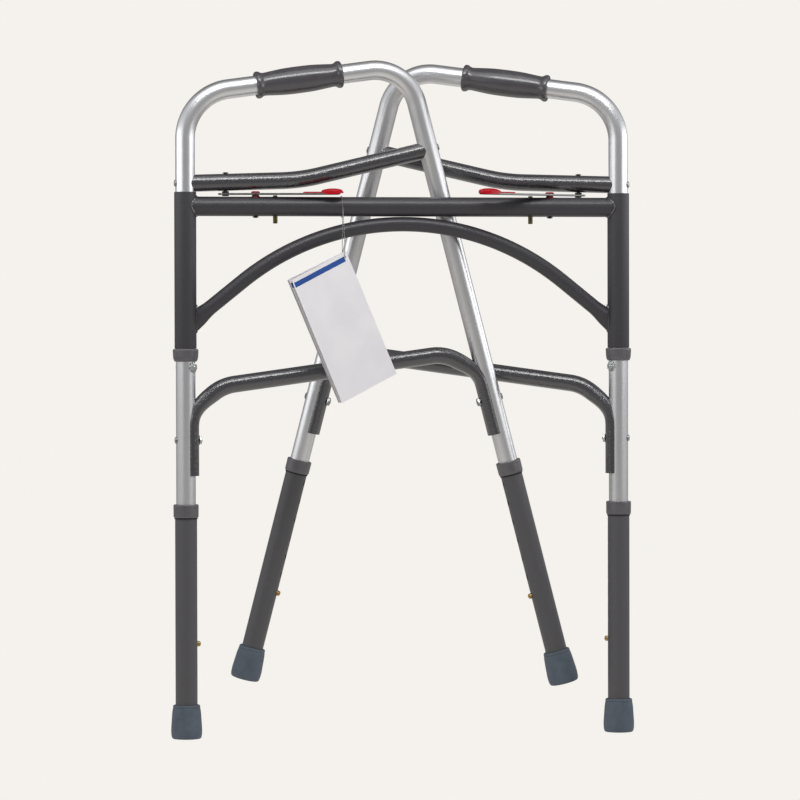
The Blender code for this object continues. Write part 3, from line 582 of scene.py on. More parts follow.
def rod(centre, direction, length, diameter, sides=SMALL_SIDES):
    """A round cutter in metres, centred on a point of its axis."""
    data = bmesh.new()
    radius = diameter / 2 * MM
    bmesh.ops.create_cone(data, cap_ends=True, segments=sides, radius1=radius, radius2=radius,
                          depth=length * MM)
    data.transform(aim([value * MM for value in centre], direction))
    return data


def join(meshes):
    """One mesh data out of several."""
    first = meshes[0]
    for other in meshes[1:]:
        spare = bpy.data.meshes.new("spare")
        other.to_mesh(spare)
        other.free()
        first.from_mesh(spare)
        bpy.data.meshes.remove(spare)
    return first


def shown(name, data):
    """A new object of the scene."""
    obj = bpy.data.objects.new(name, data)
    bpy.context.scene.collection.objects.link(obj)
    return obj


def solid(name, data):
    """An object of the scene made of mesh data."""
    bmesh.ops.recalc_face_normals(data, faces=data.faces)
    mesh = bpy.data.meshes.new(name)
    data.to_mesh(mesh)
    data.free()
    return shown(name, mesh)


def carved(obj, shapes):
    """Takes closed shapes out of a piece."""
    cutters = [solid("cutter", data) for data in shapes]
    for cutter in cutters:
        boolean = obj.modifiers.new("carve", "BOOLEAN")
        boolean.operation = "DIFFERENCE"
        boolean.solver = "EXACT"
        boolean.object = cutter
    bpy.context.view_layer.update()
    graph = bpy.context.evaluated_depsgraph_get()
    shape = bpy.data.meshes.new_from_object(obj.evaluated_get(graph))
    obj.modifiers.clear()
    obj.data = shape
    for cutter in cutters:
        mesh = cutter.data
        bpy.data.objects.remove(cutter)
        bpy.data.meshes.remove(mesh)


def piece(name, data, slot, placed=Matrix(), node=None, body="front_frame", carve=(), sharp=32, look=None):
    """A finished piece riding on its body, standing for its CAD node and less the carved shapes."""
    obj = solid(name, data)
    if carve:
        carved(obj, carve)
    obj.data.transform(TO_METRES @ placed @ TO_METRES.inverted())
    obj.data.shade_smooth()
    obj.data.set_sharp_from_angle(angle=radians(sharp))
    obj.data.materials.clear()
    obj.data.materials.append(FINISHES[look or slot])
    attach(obj, body)
    if node:
        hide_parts(node)


# Front frame

def sleeve(side, base):
    """The powder coated tube in which a front leg turns."""
    outer = SLEEVE_OD / 2
    inner = outer - SLEEVE_WALL
    corners = [(inner, SLEEVE_BOTTOM, 0.3), (outer, SLEEVE_BOTTOM, 0.5), (outer, SLEEVE_TOP, 0.5),
               (inner, SLEEVE_TOP, 0.3), (inner, SLEEVE_BOTTOM + 1, 0)]
    piece(side + "_sleeve_tube", turned(corners), "powder_coat", shift(base), side + "_sleeve")


def sleeve_collar(side, base):
    """The plastic ring under a sleeve, flat on top and rounded below."""
    top = SLEEVE_BOTTOM - GAP
    bottom = top - SLEEVE_COLLAR_HEIGHT
    radius = SLEEVE_COLLAR_OD / 2
    inner = LEG_OD / 2 + GAP
    corners = [(inner, bottom + 1, 0), (inner, bottom, 0.3), (radius - 2.6, bottom, 1.2),
               (radius - 1.1, bottom + 2.4, 2), (radius - 0.4, bottom + 6, 3), (radius - 0.1, top - 4, 1),
               (radius, top - 1.7, 0.8), (radius - 0.5, top - 0.3, 0.8), (radius - 1.8, top, 0.5),
               (inner, top, 0.3)]
    piece(side + "_sleeve_ring", turned(corners), "grey_plastic", shift(base), side + "_sleeve_collar")


def weld(name, ring, inwards, radius, placed=Matrix()):
    """A glossy bead round a coped end, a little inwards of it."""
    loop = [point + Vector((inwards, 0, 0)) for point in ring]
    piece(name, bead(loop, radius), "powder_coat", placed, look="gloss_coat")


def cross_tube(bases):
    """The straight tube between the sleeves, coped on both, with weld beads round its ends."""
    radius = CROSS_OD / 2
    ends = {}
    for side, way in WAYS:
        ends[side] = []
        for turn in angles(SIDES):
            start = Vector((0, bases[side].y + radius * cos(turn), CROSS_Z + radius * sin(turn)))
            ends[side].append(reach_round(start, Vector((way, 0, 0)), bases[side], UP, SLEEVE_OD / 2))
    piece("cross_bar", skin([ends["left"], ends["right"]]), "powder_coat", node="cross_tube",
          look="satin_coat")
    for side, way in WAYS:
        weld(side + "_cross_weld", ends[side], -0.3 * way, CROSS_BEAD)


def arch(bases):
    """The arched tube, its ends pressed flat, coped and welded on the sleeves."""
    half = bases["right"].x
    radius = ARCH_OD / 2
    along = Vector((cos(ARCH_SLOPE), -sin(ARCH_SLOPE)))
    middle = Vector((0, ARCH_CROWN_Z - ARCH_RADIUS))
    right = []
    steps = 30
    for step in range(steps + 1):
        angle = ARCH_SLOPE * step / steps
        point = middle + ARCH_RADIUS * Vector((sin(angle), cos(angle)))
        right.append((point, Vector((cos(angle), -sin(angle)))))
    straight = right[-1][0]
    end_length = (half - SLEEVE_OD / 4 - straight.x) / along.x
    flatten_steps = 16
    for step in range(flatten_steps):
        back = ARCH_FLATTEN_LENGTH * (1 - step / flatten_steps)
        if back > ARCH_COPE_ROOM:
            right.append((straight + along * (end_length - back), along))
    left = [(Vector((-p.x, p.y)), Vector((t.x, -t.y))) for p, t in reversed(right[1:])]
    flat_from = straight.x + along.x * (end_length - ARCH_FLATTEN_LENGTH)

    def section(centre):
        share = ease((abs(centre.x) - flat_from) / (along.x * ARCH_FLATTEN_LENGTH))
        return (radius + (ARCH_END_HALF_HEIGHT - radius) * share,
                radius + (ARCH_END_HALF_DEPTH - radius) * share, 0)

    ends = {}
    for side, way in WAYS:
        end = straight + along * end_length
        ring = sweep([(Vector((way * end.x, end.y)), Vector((along.x, along.y * way)))], section)[0]
        travel = Vector((way * along.x, 0, along.y))
        ends[side] = [reach_round(point - travel * 20, travel, Vector((way * half, 0, 0)), UP, SLEEVE_OD / 2)
                      for point in ring]
    placed = shift((0, bases["left"].y, 0))
    vents = [rod((way * (half - VENT_INSET), -8, VENT_Z), (0, 1, 0), 12, VENT_OD, 20) for side, way in WAYS]
    piece("arch_tube", skin([ends["left"]] + sweep(left + right, section) + [ends["right"]]), "powder_coat",
          placed, "arch_brace", carve=vents, look="satin_coat")
    for side, way in WAYS:
        weld(side + "_arch_weld", ends[side], -0.2 * way, ARCH_BEAD, placed)


def latch_seat(side, base, hand):
    """The spool, its rivet and the stop pin on the cross tube."""
    top = CROSS_Z + CROSS_OD / 2
    bottom = CROSS_Z - CROSS_OD / 2
    placed = shift(base + Vector((hand * SPOOL_U, 0, 0)))
    height = STRIP_BOTTOM - GAP
    radius = SPOOL_OD / 2
    bore = RIVET_OD / 2 + GAP
    spool = [(bore, height, 0), (radius - 1.2, height, 0.4), (radius - 1.6, top + 0.9, 1), (radius, top, 0.8),
             (radius, top - 5, 0), (bore, top - 5, 0)]
    # The spool foot takes the darkened red: painted shade of the gap under the latch strip.
    piece(side + "_spool_foot", turned(spool), "red_plastic", placed, side + "_spool_base", look="red_painted_shade")
    rivet = [(0, height - GAP), (RIVET_OD / 2, height - GAP), (RIVET_OD / 2, bottom - GAP)]
    rivet += dome(RIVET_HEAD_OD / 2, RIVET_HEAD_HEIGHT, bottom - GAP, -1)
    piece(side + "_spool_pin", lathe(rivet), "black_steel", placed, side + "_spool_rivet")
    radius = PIN_OD / 2
    low, high = bottom - PIN_BELOW, top + PIN_ABOVE
    pin = [(0, low, 0), (radius, low, 0.8), (radius, low + 2.2, 0.2), (radius - 0.35, low + 2.6, 0.2),
           (radius, low + 3, 0.2), (radius, high, 1.2), (0, high, 0)]
    # The stop pin takes the darkened brass: painted shade under the latch strip.
    piece(side + "_stop_peg", turned(pin), "brass", shift(base + Vector((hand * PIN_U, 0, 0))),
          side + "_stop_pin", look="aged_brass")


# Hang tag

def tag_place():
    """The pivot over the tag, the hole it hangs by and the turn of its face."""
    pivot = joint_place("tag_swing")
    hole = pivot + Vector((0, -TAG_STAND, -CROSS_OD / 2 - TAG_DROP))
    return pivot, hole, Matrix.Rotation(TAG_TURN, 4, "Z")


def thread():
    """The thread: through the hole, up, once round the cross tube and down again."""
    pivot, hole, face = tag_place()
    loop = (CROSS_OD / 2 + STRING_OD / 2 + GAP) / cos(pi / LOOP_STEPS) / cos(TAG_SWING)
    thick = TAG_THICKNESS + (TAG_FAN - TAG_THICKNESS) * TAG_INSET / TAG_WIDTH
    clear = (face @ Vector((0, 1, 0))) * (thick / 2 + STRING_OD / 2 + GAP)
    rise = Vector((0, 0, 2 * TAG_INSET))
    aside = Vector((STRING_SPREAD / 2, 0, 0))
    below = pivot + Vector((0, -loop, -CROSS_OD / 2))
    behind = hole + clear + rise - aside
    start = behind.lerp(below - aside, 0.5)
    points = [start, behind, hole + clear, hole - clear, hole - clear + rise + aside, below + aside]
    for step in range(LOOP_STEPS + 1):
        turn = 2 * pi * step / LOOP_STEPS
        points.append(pivot + aside * (1 - 2 * step / LOOP_STEPS)
                      + Vector((0, -loop * cos(turn), -loop * sin(turn))))
    points += [below - aside, start + (below - aside - start).normalized() * STRING_OD / 2]
    points = [point * MM for point in points]
    line = bpy.data.curves.new("tag_thread", "CURVE")
    line.dimensions = "3D"
    line.bevel_depth = STRING_OD / 2 * MM
    line.bevel_resolution = 3
    line.use_fill_caps = True
    spline = line.splines.new("POLY")
    spline.points.add(len(points) - 1)
    for place, point in zip(spline.points, points):
        place.co = (*point, 1.0)
    line.materials.append(FINISHES["thread"])
    obj = shown("tag_thread", line)
    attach(obj, "tag")
    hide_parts("tag_string")


def tag_depth(x, z, share):
    """How deep a leaf lies in the booklet, which fans open to its left and most at its top."""
    out = max(0.0, (TAG_INSET - x) / TAG_WIDTH)
    fan = (TAG_FAN - TAG_THICKNESS) * out ** TAG_CURL
    front = -(TAG_THICKNESS + fan * (1 - TAG_CLOSE * (TAG_INSET - z) / TAG_LENGTH)) / 2
    back = (TAG_THICKNESS + fan) / 2
    return front + (back - front) * share


def leaf(span, near, far, lift=(0, 0), columns=14, rows=8):
    """A leaf over a span of the tag's face, from a near to a far share of its depth, lifted off them."""
    x_low, x_high, z_low, z_high = span
    rings = []
    for column in range(columns + 1):
        x = x_low + (x_high - x_low) * column / columns
        ring = []
        for share, offset, order in ((near, lift[0], range(rows + 1)), (far, lift[1], range(rows, -1, -1))):
            for row in order:
                z = z_low + (z_high - z_low) * row / rows
                ring.append(Vector((x, tag_depth(x, z, share) + offset, z)))
        rings.append(ring)
    return skin(rings)


def booklet():
    """The blank booklet: two covers, a pack of pages fanned open and a plain blue band."""
    pivot, hole, face = tag_place()
    placed = shift(hole) @ face @ Matrix.Rotation(-TAG_TILT, 4, "Y")
    edge, spine = TAG_INSET - TAG_WIDTH, TAG_INSET
    bottom, top = TAG_INSET - TAG_LENGTH, TAG_INSET
    punch = ((0, 0, 0), (0, 1, 0), 2 * TAG_FAN, TAG_HOLE)
    covers = [leaf((edge, spine, bottom, top), near, far) for near, far in COVER_LEAVES]
    piece("tag_covers", join(covers), "card", placed, "hang_tag", "tag", [rod(*punch)])
    pages = []
    for number in range(TAG_PAGES):
        near = PAGES_FROM + PAGES_SHARE * number / TAG_PAGES
        far = PAGES_FROM + PAGES_SHARE * (number + PAGE_FILL) / TAG_PAGES
        if far < MARKED_LEAF - 0.01:
            inset = 4.2
        elif near > MARKED_LEAF + 0.035:
            inset = 0.4
        else:
            continue
        inset += 0.3 * sin(2.4 * number)
        pages.append(leaf((edge + inset, spine - 0.4, bottom + 0.5, top - 0.5), near, far))
    # The pages take the grey paper, painted shade on their edges.
    piece("tag_pages", join(pages), "card", placed, None, "tag", [rod(*punch)], look="pages")
    band_top = top - BAND_TOP
    marks = (("tag_band", edge + 1.6, spine - 6, 0, 14), ("tag_mark", edge + 0.6, edge + 3.6, MARKED_LEAF, 2))
    for name, left, right, share, columns in marks:
        data = leaf((left, right, band_top - BAND_HEIGHT, band_top), share, share, (-0.12, -0.02), columns, 1)
        piece(name, data, "card", placed, None, "tag", look="blue_ink")


# Side frames

class Side:
    """Where one side frame stands, from its fold and its rear leg's slide."""

    def __init__(self, name, hand):
        self.name = name
        self.hand = hand
        slide = Vector(JOINTS[name + "_rear_leg_slide"]["axis"])
        self.lean = asin(hypot(slide.x, slide.y))
        angle = atan2(slide.y, abs(slide.x))
        turn = angle if hand > 0 else pi - angle
        self.placed = shift(joint_place(name + "_fold")) @ Matrix.Rotation(turn, 4, "Z")
        self.up = Vector((-sin(self.lean), cos(self.lean)))
        self.out = Vector((cos(self.lean), sin(self.lean)))
        self.rear_lower = ((LOWER_REF_Z + LOWER_SLOPE * (REAR_FOOT_U - LOWER_REF_U) - REAR_FOOT_Z)
                           / cos(self.lean) - LOWER_REAR_DROP)
        self.rear_upper = (UPPER_REAR_Z - REAR_FOOT_Z) / cos(self.lean)

    def rear(self, along, off=0.0):
        """A point on the rear leg, up the leg from its foot and outwards from it."""
        return Vector((REAR_FOOT_U, REAR_FOOT_Z)) + self.up * along + self.out * off

    def seated(self, seat, direction):
        """A placing at a seat of the side's plane, its Z along a direction of it."""
        return self.placed @ aim(flat(seat), flat(direction))

    def piece(self, name, node, data, slot, placed=None, body="side", **more):
        """A piece that rides on the side frame or on another body of its side."""
        piece(f"{self.name}_{name}", data, slot, placed or self.placed, node and f"{self.name}_{node}",
              f"{self.name}_{body}", **more)


def side_tube(side):
    """The silver tube: front leg, handle and rear leg in one."""
    handle = Vector((cos(HANDLE_RISE), sin(HANDLE_RISE)))
    front_corner = Vector((0, HANDLE_Z))
    rear_corner = meet(front_corner, handle, side.rear(0), side.up)
    corners = [Vector((0, LEG_BOTTOM)), front_corner, rear_corner, side.rear(LEG_BOTTOM)]
    path = bent_path(corners, (FRONT_BEND, REAR_BEND))
    side.piece("bent_tube", "side_tube", tube(path, LEG_OD / 2, LEG_WALL), "anodised_tube")


def grip(side):
    """The moulded vinyl hand grip: a barrel between necks and rolled end flanges."""
    half = GRIP_LENGTH / 2
    bore = LEG_OD / 2 + GAP
    flange = GRIP_FLANGE_OD / 2
    neck = GRIP_NECK_OD / 2
    barrel = GRIP_BARREL_OD / 2
    outline = [(bore, half, 0), (flange - 1.2, half, 1.6), (flange, half - 1.6, 2.2), (flange, half - 5, 2.2),
               (neck + 0.4, half - 8.5, 3), (neck, half - 12, 4), (neck + 1, half - 22, 8),
               (barrel - 0.3, half - 38, 10)]
    lower = [(r, -z, s) for r, z, s in outline]
    corners = [(bore, -half + 1, 0)] + lower + [(barrel, 0, 12)] + outline[::-1]
    centre = Vector((GRIP_U, HANDLE_Z + GRIP_U * tan(HANDLE_RISE)))
    side.piece("hand_grip", "grip", turned(corners, steps=8), "vinyl_grip",
               side.seated(centre, Vector((cos(HANDLE_RISE), sin(HANDLE_RISE)))))


def upper_brace(side):
    """The upper brace, coped on both legs, with a slight knee."""
    start = Vector((LEG_OD / 4, UPPER_FRONT_Z))
    reach = UPPER_KNEE_U - start.x
    knee = start + Vector((reach, reach * tan(UPPER_RISE)))
    corners = [start, knee, side.rear(side.rear_upper, -LEG_OD / 4)]
    path = bent_path(corners, (UPPER_KNEE_RADIUS,), radians(0.8))
    rings = sweep(path, BRACE_OD / 2)
    for end, inner, axis_point, axis in ((0, 1, Vector(), UP), (-1, -2, flat(side.rear(0)), flat(side.up))):
        tangent = flat((path[end][0] - path[inner][0]).normalized())
        rings[end] = [reach_round(point - tangent * 40, tangent, axis_point, axis, LEG_OD / 2 + 0.1)
                      for point in rings[end]]
    side.piece("upper_bar", "upper_brace", skin(rings), "powder_coat", look="gloss_coat")


def lower_brace(side):
    """The lower brace, its ends turned down and pressed into saddles round the legs."""
    slope = Vector((1, LOWER_SLOPE)).normalized()
    reference = Vector((LOWER_REF_U, LOWER_REF_Z))
    rear_bottom = side.rear(side.rear_lower - LOWER_TAIL, -LOWER_LEG_OFFSET)
    front_bottom = Vector((LOWER_LEG_OFFSET, LOWER_BOLT - LOWER_TAIL))
    first = meet(front_bottom, Vector((0, 1)), reference, slope)
    second = meet(rear_bottom, side.up, reference, slope)
    path = bent_path([front_bottom, first, second, rear_bottom], (LOWER_BEND, LOWER_BEND))
    radius = BRACE_OD / 2

    def finer(end, following, way):
        """Rings at a close pitch along the straight from one end of the path."""
        count = int((following[0] - end[0]).length / LOWER_RING_PITCH)
        return [(end[0] + end[1] * way * LOWER_RING_PITCH * step, end[1]) for step in range(1, count)]

    def section(centre):
        reach = min((centre - path[0][0]).length, (centre - path[-1][0]).length)
        share = ease((LOWER_CRUSH_LENGTH - reach) / LOWER_CRUSH_RUN)
        return (radius + (SADDLE_HALF_THICKNESS - radius) * share,
                radius + (SADDLE_HALF_WIDTH - radius) * share, (LOWER_LEG_OFFSET - SADDLE_OFFSET) * share)

    path = (path[:1] + finer(path[0], path[1], 1) + path[1:-1]
            + finer(path[-1], path[-2], -1)[::-1] + path[-1:])
    legs = [rod(middle, way, 1000, LEG_OD + GAP, SIDES)
            for middle, way in (((0, 0, 500), UP), (flat(side.rear(500)), flat(side.up)))]
    side.piece("lower_bar", "lower_brace", skin(sweep(path, section)), "powder_coat", carve=legs,
               look="gloss_coat")


def round_bolt(side, label, seat, direction, length):
    """A domed bolt: its head at seat, its shank along direction and threaded at the end."""
    radius = BOLT_OD / 2
    profile = dome(BOLT_HEAD_OD / 2, BOLT_HEAD_HEIGHT, 0, -1)[::-1] + [(radius, 0)]
    place = length - THREAD_LENGTH
    while place < length - 1.2:
        profile += [(radius, place), (radius - 0.45, place + THREAD_PITCH / 2)]
        place += THREAD_PITCH
    profile += [(radius - 0.3, length - 0.8), (radius - 0.9, length), (0, length)]
    side.piece(label + "_screw", label + "_bolt", lathe(profile), "zinc_steel",
               side.seated(seat, direction), look="dull_zinc")


def toothed(levels, sides, pitch, gaps, depth):
    """A ring of (radius, height) levels; those wider than a nut are cut back in the gaps of each pitch."""
    def cut(radius):
        return lambda step: radius - (depth if radius > NUT_FLATS / 2 and step % pitch in gaps else 0)

    return skin([circle(height, cut(radius), sides) for radius, height in levels], closed=True)


def hex_nut(side, label, seat, direction):
    """A chamfered hexagon nut on a toothed washer."""
    wide = NUT_FLATS / 2 / cos(pi / 6)
    bore = BOLT_OD / 2 + 0.05
    sides = 36

    def hexagon(radius):
        return lambda step: min(radius, NUT_FLATS / 2 / cos(2 * pi * step / sides % (pi / 3) - pi / 6))

    top = NUT_HEIGHT
    levels = ((bore, 0.9), (wide, 0.9), (wide, top - 0.7), (wide * 0.9, top), (bore, top))
    nut = skin([circle(height, hexagon(radius), sides) for radius, height in levels], closed=True)
    rim = wide + 0.5
    washer = toothed(((bore, 0.05), (rim, 0.05), (rim, 0.75), (bore, 0.75)), 72, 4, (2, 3), 0.7)
    side.piece(label + "_hex", label + "_nut", join([nut, washer]), "zinc_steel",
               side.seated(seat, direction), sharp=25, look="dull_zinc")


def brace_fasteners(side):
    """The bolts of both braces, with nuts on the lower ones."""
    seat = LEG_OD / 2 + GAP
    saddle = SADDLE_OFFSET + SADDLE_HALF_THICKNESS + GAP
    upper = seat + UPPER_GRIP
    lower = seat + saddle + NUT_HEIGHT + SHANK_SHOWN
    inwards = Vector((1, 0))
    for brace, height, along, length in (("upper", UPPER_FRONT_Z, side.rear_upper, upper),
                                         ("lower", LOWER_BOLT, side.rear_lower, lower)):
        round_bolt(side, brace + "_front", Vector((-seat, height)), inwards, length)
        round_bolt(side, brace + "_rear", side.rear(along, seat), -side.out, length)
    hex_nut(side, "lower_front", Vector((saddle - 0.2, LOWER_BOLT)), inwards)
    hex_nut(side, "lower_rear", side.rear(side.rear_lower, -saddle + 0.2), -side.out)


def stop_bolt(side):
    """The bolt through the leg that holds up the sleeve ring, its nut on a toothed washer."""
    height = SLEEVE_BOTTOM - SLEEVE_COLLAR_HEIGHT - STOP_BOLT_DROP
    seat = LEG_OD / 2 + 0.1
    direction = Vector((cos(STOP_BOLT_TURN), -side.hand * sin(STOP_BOLT_TURN), 0))
    radius = STOP_BOLT_OD / 2
    wide = BOLT_HEAD_OD / 2
    star = STOP_NUT_OD / 2
    span = 2 * seat
    bolt = [(0, -BOLT_HEAD_HEIGHT, 0), (0.75 * wide, -0.9 * BOLT_HEAD_HEIGHT, 1), (wide, -0.8, 0.6),
            (wide, 0, 0.2), (radius, 0, 0), (radius, span + 3.6, 0), (radius - 0.5, span + 4.2, 0.2),
            (0, span + 4.2, 0)]
    levels = ((radius, 0.1), (star, 0.1), (star, 0.9), (star - 1, 1.1), (4.4, 1.3), (4.2, 3.2), (3.6, 3.6),
              (radius, 3.6))
    nut = toothed([(size, span + level) for size, level in levels], 80, 8, (0, 1, 2), 1.7)
    side.piece("stop_screw", "stop_bolt", join([turned(bolt), nut]), "zinc_steel",
               side.placed @ aim(height * UP - direction * seat, direction), sharp=25, look="star_zinc")


def latch_stud(side):
    """The stud through the upper brace on which the latch strip turns."""
    centre = UPPER_FRONT_Z + (STUD_U - LEG_OD / 4) * tan(UPPER_RISE)
    half = BRACE_OD / 2 / cos(UPPER_RISE) + GAP + 0.2
    radius = STUD_OD / 2
    shoulder = radius + 2
    strip_top = STRIP_BOTTOM + STRIP_THICKNESS + GAP
    under = STRIP_BOTTOM - GAP
    profile = soften([(0, under - 1.3, 0), (shoulder, under - 1.3, 0.8), (shoulder, under, 0.2),
                      (radius, under, 0), (radius, strip_top, 0), (shoulder, strip_top, 0.2),
                      (shoulder, centre - half, 0.4), (radius, centre - half, 0), (radius, centre + half, 0)])
    profile += dome(radius + 1.4, 1.5, centre + half)
    side.piece("pivot_stud", "latch_stud", lathe(profile), "black_steel",
               side.placed @ shift((STUD_U, 0, 0)), look="stud_black")


def latch(side):
    """The latch strip with its red finger pad and the cap over the spool."""
    pivot = joint_place(side.name + "_latch_pivot")
    low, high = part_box(side.name + "_spool_base")
    spool = (low + high) / 2 / MM - pivot
    placed = shift((pivot.x, pivot.y, 0)) @ Matrix.Rotation(atan2(spool.y, spool.x), 4, "Z")
    half = STRIP_WIDTH / 2
    steps = 24
    outline = [(centre, start + pi * step / steps)
               for centre, start in ((half - STRIP_END, pi / 2), (STRIP_LENGTH - half, -pi / 2))
               for step in range(steps + 1)]
    rings = []
    for inset, height in ((STRIP_EDGE, 0), (0, STRIP_EDGE), (0, STRIP_THICKNESS - STRIP_EDGE),
                          (STRIP_EDGE, STRIP_THICKNESS)):
        reach = half - inset
        rings.append([Vector((centre + reach * cos(turn), reach * sin(turn), STRIP_BOTTOM + height))
                      for centre, turn in outline])
    hole = rod((0, 0, STRIP_BOTTOM), UP, 6 * STRIP_THICKNESS, STUD_OD + GAP)
    side.piece("latch_bar", "latch_strip", skin(rings), "zinc_steel", placed, "latch", carve=[hole],
               look="strip_steel")
    finger_pad(side, placed)
    radius = SPOOL_OD / 2
    low = STRIP_BOTTOM + STRIP_THICKNESS + 0.1
    top = low + CAP_HEIGHT
    over = placed @ shift((hypot(spool.x, spool.y), 0, 0))
    cap = [(0, low, 0), (radius - 0.6, low, 0.3), (radius, low + 0.9, 0.6), (0.75 * radius, top, 1),
           (0.42 * radius, top + 0.1, 0.2), (0.4 * radius, top - 0.5, 0.2), (0, top - 0.5, 0)]
    side.piece("spool_button", "spool_cap", turned(cap), "red_plastic", over, "latch", look="dull_red")
    seat = top - 0.45
    rivet = [(0, seat)] + dome(0.38 * radius, 0.6, seat)
    side.piece("cap_rivet", None, lathe(rivet), "black_steel", over, "latch")


def finger_pad(side, placed):
    """The red pad on the strip: a narrow neck that swells into a domed paddle."""
    bottom = STRIP_BOTTOM + STRIP_THICKNESS + 0.05
    steps, arc = 60, 20
    rings = []
    for step in range(steps + 1):
        along = PALM_LENGTH * step / steps
        beyond = clamp((along - PALM_NECK) / (PALM_LENGTH - PALM_NECK))
        swell = sin(pi * (beyond * 0.93 + 0.02)) if beyond > 0 else 0.0
        narrow = (PALM_NECK_WIDTH if beyond < 0.5 else PALM_TIP_WIDTH) / 2
        end = sqrt(clamp(along / 2) * clamp((PALM_LENGTH - along) / 2.5))
        width = (narrow + (PALM_WIDTH / 2 - narrow) * swell ** 0.6) * (0.6 + 0.4 * end)
        height = PALM_HEIGHT * (0.3 + 0.7 * swell ** 0.45) * (0.25 + 0.75 * end)
        skirt = STRIP_THICKNESS * 0.9 * clamp((width - STRIP_WIDTH / 2 - 0.3) / 0.8)
        section = [(width * cos(pi * turn / arc), height * (0.3 + 0.7 * sin(pi * turn / arc) ** 0.8))
                   for turn in range(arc + 1)]
        section += [(-width, -skirt), (width, -skirt)]
        rings.append([Vector((PALM_START + along, y, bottom + z)) for y, z in section])
    side.piece("thumb_pad", "finger_pad", skin(rings), "red_plastic", placed, "latch", sharp=50)


def leg(side, place, base, turn, inward):
    """A leg extension: drilled tube, top ring over a black ring painted as the shadow under it, rubber foot
    and snap button.
    """
    name = f"{side.name}_{place}"
    body = name + "_leg_extension"
    placed = side.placed @ shift(base) @ Matrix.Rotation(turn, 4, "Y")
    outer = EXT_OD / 2
    inner = outer - EXT_WALL
    bottom = FOOT_FLOOR + GAP
    bevel = 0.3
    levels = [bottom]
    while levels[-1] < EXT_TOP - 6:
        levels.append(levels[-1] + 4)
    profile = [(inner, bottom), (outer - bevel, bottom)] + [(outer, level + bevel) for level in levels]
    profile += [(outer, EXT_TOP - bevel), (outer - bevel, EXT_TOP), (inner, EXT_TOP)]
    holes = [rod((inward * outer, 0, HOLE_BOTTOM + step * HOLE_PITCH), (1, 0, 0), outer, BUTTON_OD + 2 * GAP)
             for step in range(HOLE_COUNT)]
    piece(name + "_outer_tube", lathe(profile), "coated_extension", placed, name + "_extension", body, holes)
    ring = COLLAR_OD / 2
    socket = outer + GAP
    snug = LEG_OD / 2 + GAP
    low, lip = COLLAR_BOTTOM, EXT_TOP + GAP
    top = lip + COLLAR_LIP
    corners = [(socket, low + 1, 0), (socket, low, 0.2), (ring - 0.9, low, 0.6), (ring - 0.2, low + 1.6, 0.9),
               (ring - 0.1, top - 3.4, 1), (ring, top - 1.6, 0.8), (ring - 0.5, top - 0.2, 0.8),
               (ring - 1.9, top, 0.5), (snug, top, 0.4), (snug, lip, 0), (socket, lip, 0)]
    piece(name + "_top_ring", turned(corners), "grey_plastic", placed, name + "_collar", body)
    # A thin black ring under the top ring, painted as the shadow in the gap beneath it.
    shade_band = [(socket, low - SHADOW_RING_HEIGHT), (socket + 0.5, low - SHADOW_RING_HEIGHT), (socket + 0.5, low - 0.05),
            (socket, low - 0.05)]
    piece(name + "_ring_seal", lathe(shade_band), "grey_plastic", placed, None, body, look="black_seal")
    piece(name + "_rubber_tip", foot(socket), "rubber_foot", placed, name + "_foot", body)
    radius = BUTTON_OD / 2
    start = BUTTON_REACH - BUTTON_DOME
    button = [(0, BUTTON_INSIDE), (radius, BUTTON_INSIDE), (radius, start)]
    button += dome(radius, BUTTON_DOME, start, steps=10, rim=0.05)[1:]
    piece(name + "_snap_dome", lathe(button), "brass", placed @ aim((0, 0, HOLE_BOTTOM), (inward, 0, 0)),
          name + "_button", name + "_snap_button")


def foot(socket):
    """A rubber foot: grooved sole, flared skirt, waist and rolled lip."""
    wide = FOOT_WIDE_OD / 2
    top = FOOT_TOP_OD / 2
    high = FOOT_HEIGHT
    corners = [(0, 0.8, 0)]
    for groove in FOOT_GROOVES:
        corners += [(groove - 0.8, 0.8, 0.2), (groove - 0.4, 0, 0.2), (groove + 1.6, 0, 0.2),
                    (groove + 2, 0.8, 0.2)]
    corners += [(wide - 2.6, 0, 0.8), (wide - 1.1, 1.4, 1.2), (wide - 0.3, 5, 3), (wide, FOOT_WIDE_Z, 6),
                (top + 1, high - 10, 5), (top + 0.1, high - 4.2, 0.8), (top - 0.5, high - 3.6, 0.3),
                (top, high - 3, 0.6), (top, high - 1.4, 1), (top - 1, high, 0.8), (socket, high, 0.5),
                (socket, FOOT_FLOOR, 0), (0, FOOT_FLOOR, 0)]
    return turned(corners)


def side_frame(name, hand):
    """One side frame and all that turns with it."""
    side = Side(name, hand)
    for build in (side_tube, grip, upper_brace, lower_brace, brace_fasteners, stop_bolt, latch_stud, latch):
        build(side)
    leg(side, "front", (0, 0, 0), 0.0, 1)
    leg(side, "rear", flat(side.rear(0)), -side.lean, -1)


# Camera, floor and light

def camera(legs):
    """The photograph's viewpoint."""
    data = bpy.data.cameras.new("camera")
    data.lens = CAMERA_LENS
    data.sensor_width = 36
    data.clip_end = 100
    level = cos(CAMERA_PITCH)
    ahead = Vector((sin(CAMERA_YAW) * level, cos(CAMERA_YAW) * level, -sin(CAMERA_PITCH)))
    right = Vector((cos(CAMERA_YAW), -sin(CAMERA_YAW), 0))
    turn = Matrix((right, right.cross(ahead), -ahead)).transposed() @ Matrix.Rotation(CAMERA_ROLL, 3, "Z")
    obj = shown("camera", data)
    obj.matrix_world = shift((legs + CAMERA_PLACE) * MM) @ turn.to_4x4()
    bpy.context.scene.camera = obj


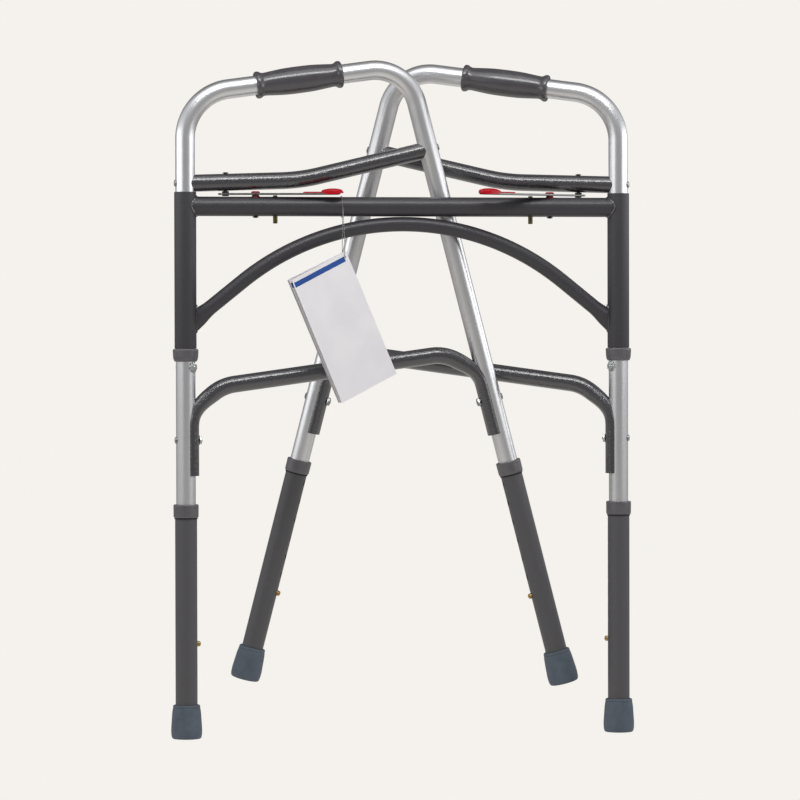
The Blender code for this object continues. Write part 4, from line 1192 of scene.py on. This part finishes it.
def floor():
    """A plain pale floor of the backdrop's colour, a little dimmer as a source of light."""
    data = bmesh.new()
    bmesh.ops.create_grid(data, x_segments=1, y_segments=1, size=FLOOR_SIZE * MM)
    obj = solid("floor", data)
    look = Finish("pale_floor")
    east, north, height = look.node("SeparateXYZ", Vector=look.place()).outputs
    away = look.maths("POWER", look.maths("ADD", look.maths("MULTIPLY", east, east),
                                          look.maths("MULTIPLY", north, north)), 0.5)
    seen = look.node("LightPath").outputs["Is Camera Ray"]
    strength = look.maths("MAXIMUM", seen, look.spread(away, FLOOR_NEAR, FLOOR_FAR, 0.8, 3.5))
    glow = look.node("Emission", Color=BACKDROP, Strength=strength)
    look.tree.links.new(glow.outputs[0], look.tree.nodes["Material Output"].inputs["Surface"])
    obj.data.materials.append(look.material)
    obj.location.z = -FLOOR_DROP * MM


def softbox(name, legs, place, target, width, height, radiance):
    """A large soft area light of a given brightness."""
    spot = legs + Vector(place)
    data = bpy.data.lights.new(name, "AREA")
    data.shape = "RECTANGLE"
    data.size, data.size_y = width * MM, height * MM
    data.energy = radiance * pi * data.size * data.size_y
    obj = shown(name, data)
    obj.location = spot * MM
    obj.rotation_euler = (legs + Vector(target) - spot).to_track_quat("-Z", "Y").to_euler()
    obj.visible_camera = False


def studio(legs):
    """Soft studio light on a pale background."""
    world = bpy.data.worlds.new("studio")
    bpy.context.scene.world = world
    world.use_nodes = True
    look = Nodes(world.node_tree)
    look.tree.nodes.clear()
    east, north, height = look.node("SeparateXYZ", Vector=look.place("Generated")).outputs
    depth = look.spread(north, ROOM_FRONT, ROOM_BEHIND, 0.1, 0.8)
    aside = look.spread(look.maths("ABSOLUTE", east), 0.0, 1.0, 0.4, 0.85)
    lift = look.maths("MULTIPLY", aside, look.maths("SUBTRACT", ROOM_SIDES, depth))
    lit = look.node("Background", Color=ROOM_COLOUR, Strength=look.maths("ADD", depth, lift))
    seen = look.node("Background", Color=BACKDROP)
    mix = look.node("MixShader", Fac=look.node("LightPath").outputs["Is Camera Ray"])
    look.feed(mix, {1: lit.outputs[0], 2: seen.outputs[0]})
    look.node("OutputWorld", Surface=mix.outputs[0])
    bpy.context.scene.view_settings.view_transform = "Standard"
    for name, light in LIGHTS.items():
        softbox(name, legs, *light)


def dress():
    """Builds every piece round the frame."""
    bases = {name: joint_place(name + "_fold") for name, way in WAYS}
    legs = Vector((0, bases["left"].y, 0))
    camera(legs)
    thread()
    booklet()
    cross_tube(bases)
    arch(bases)
    for name, way in WAYS:
        sleeve(name, bases[name])
        sleeve_collar(name, bases[name])
        latch_seat(name, bases[name], -way)
        side_frame(name, -way)
    floor()
    studio(legs)


dress()
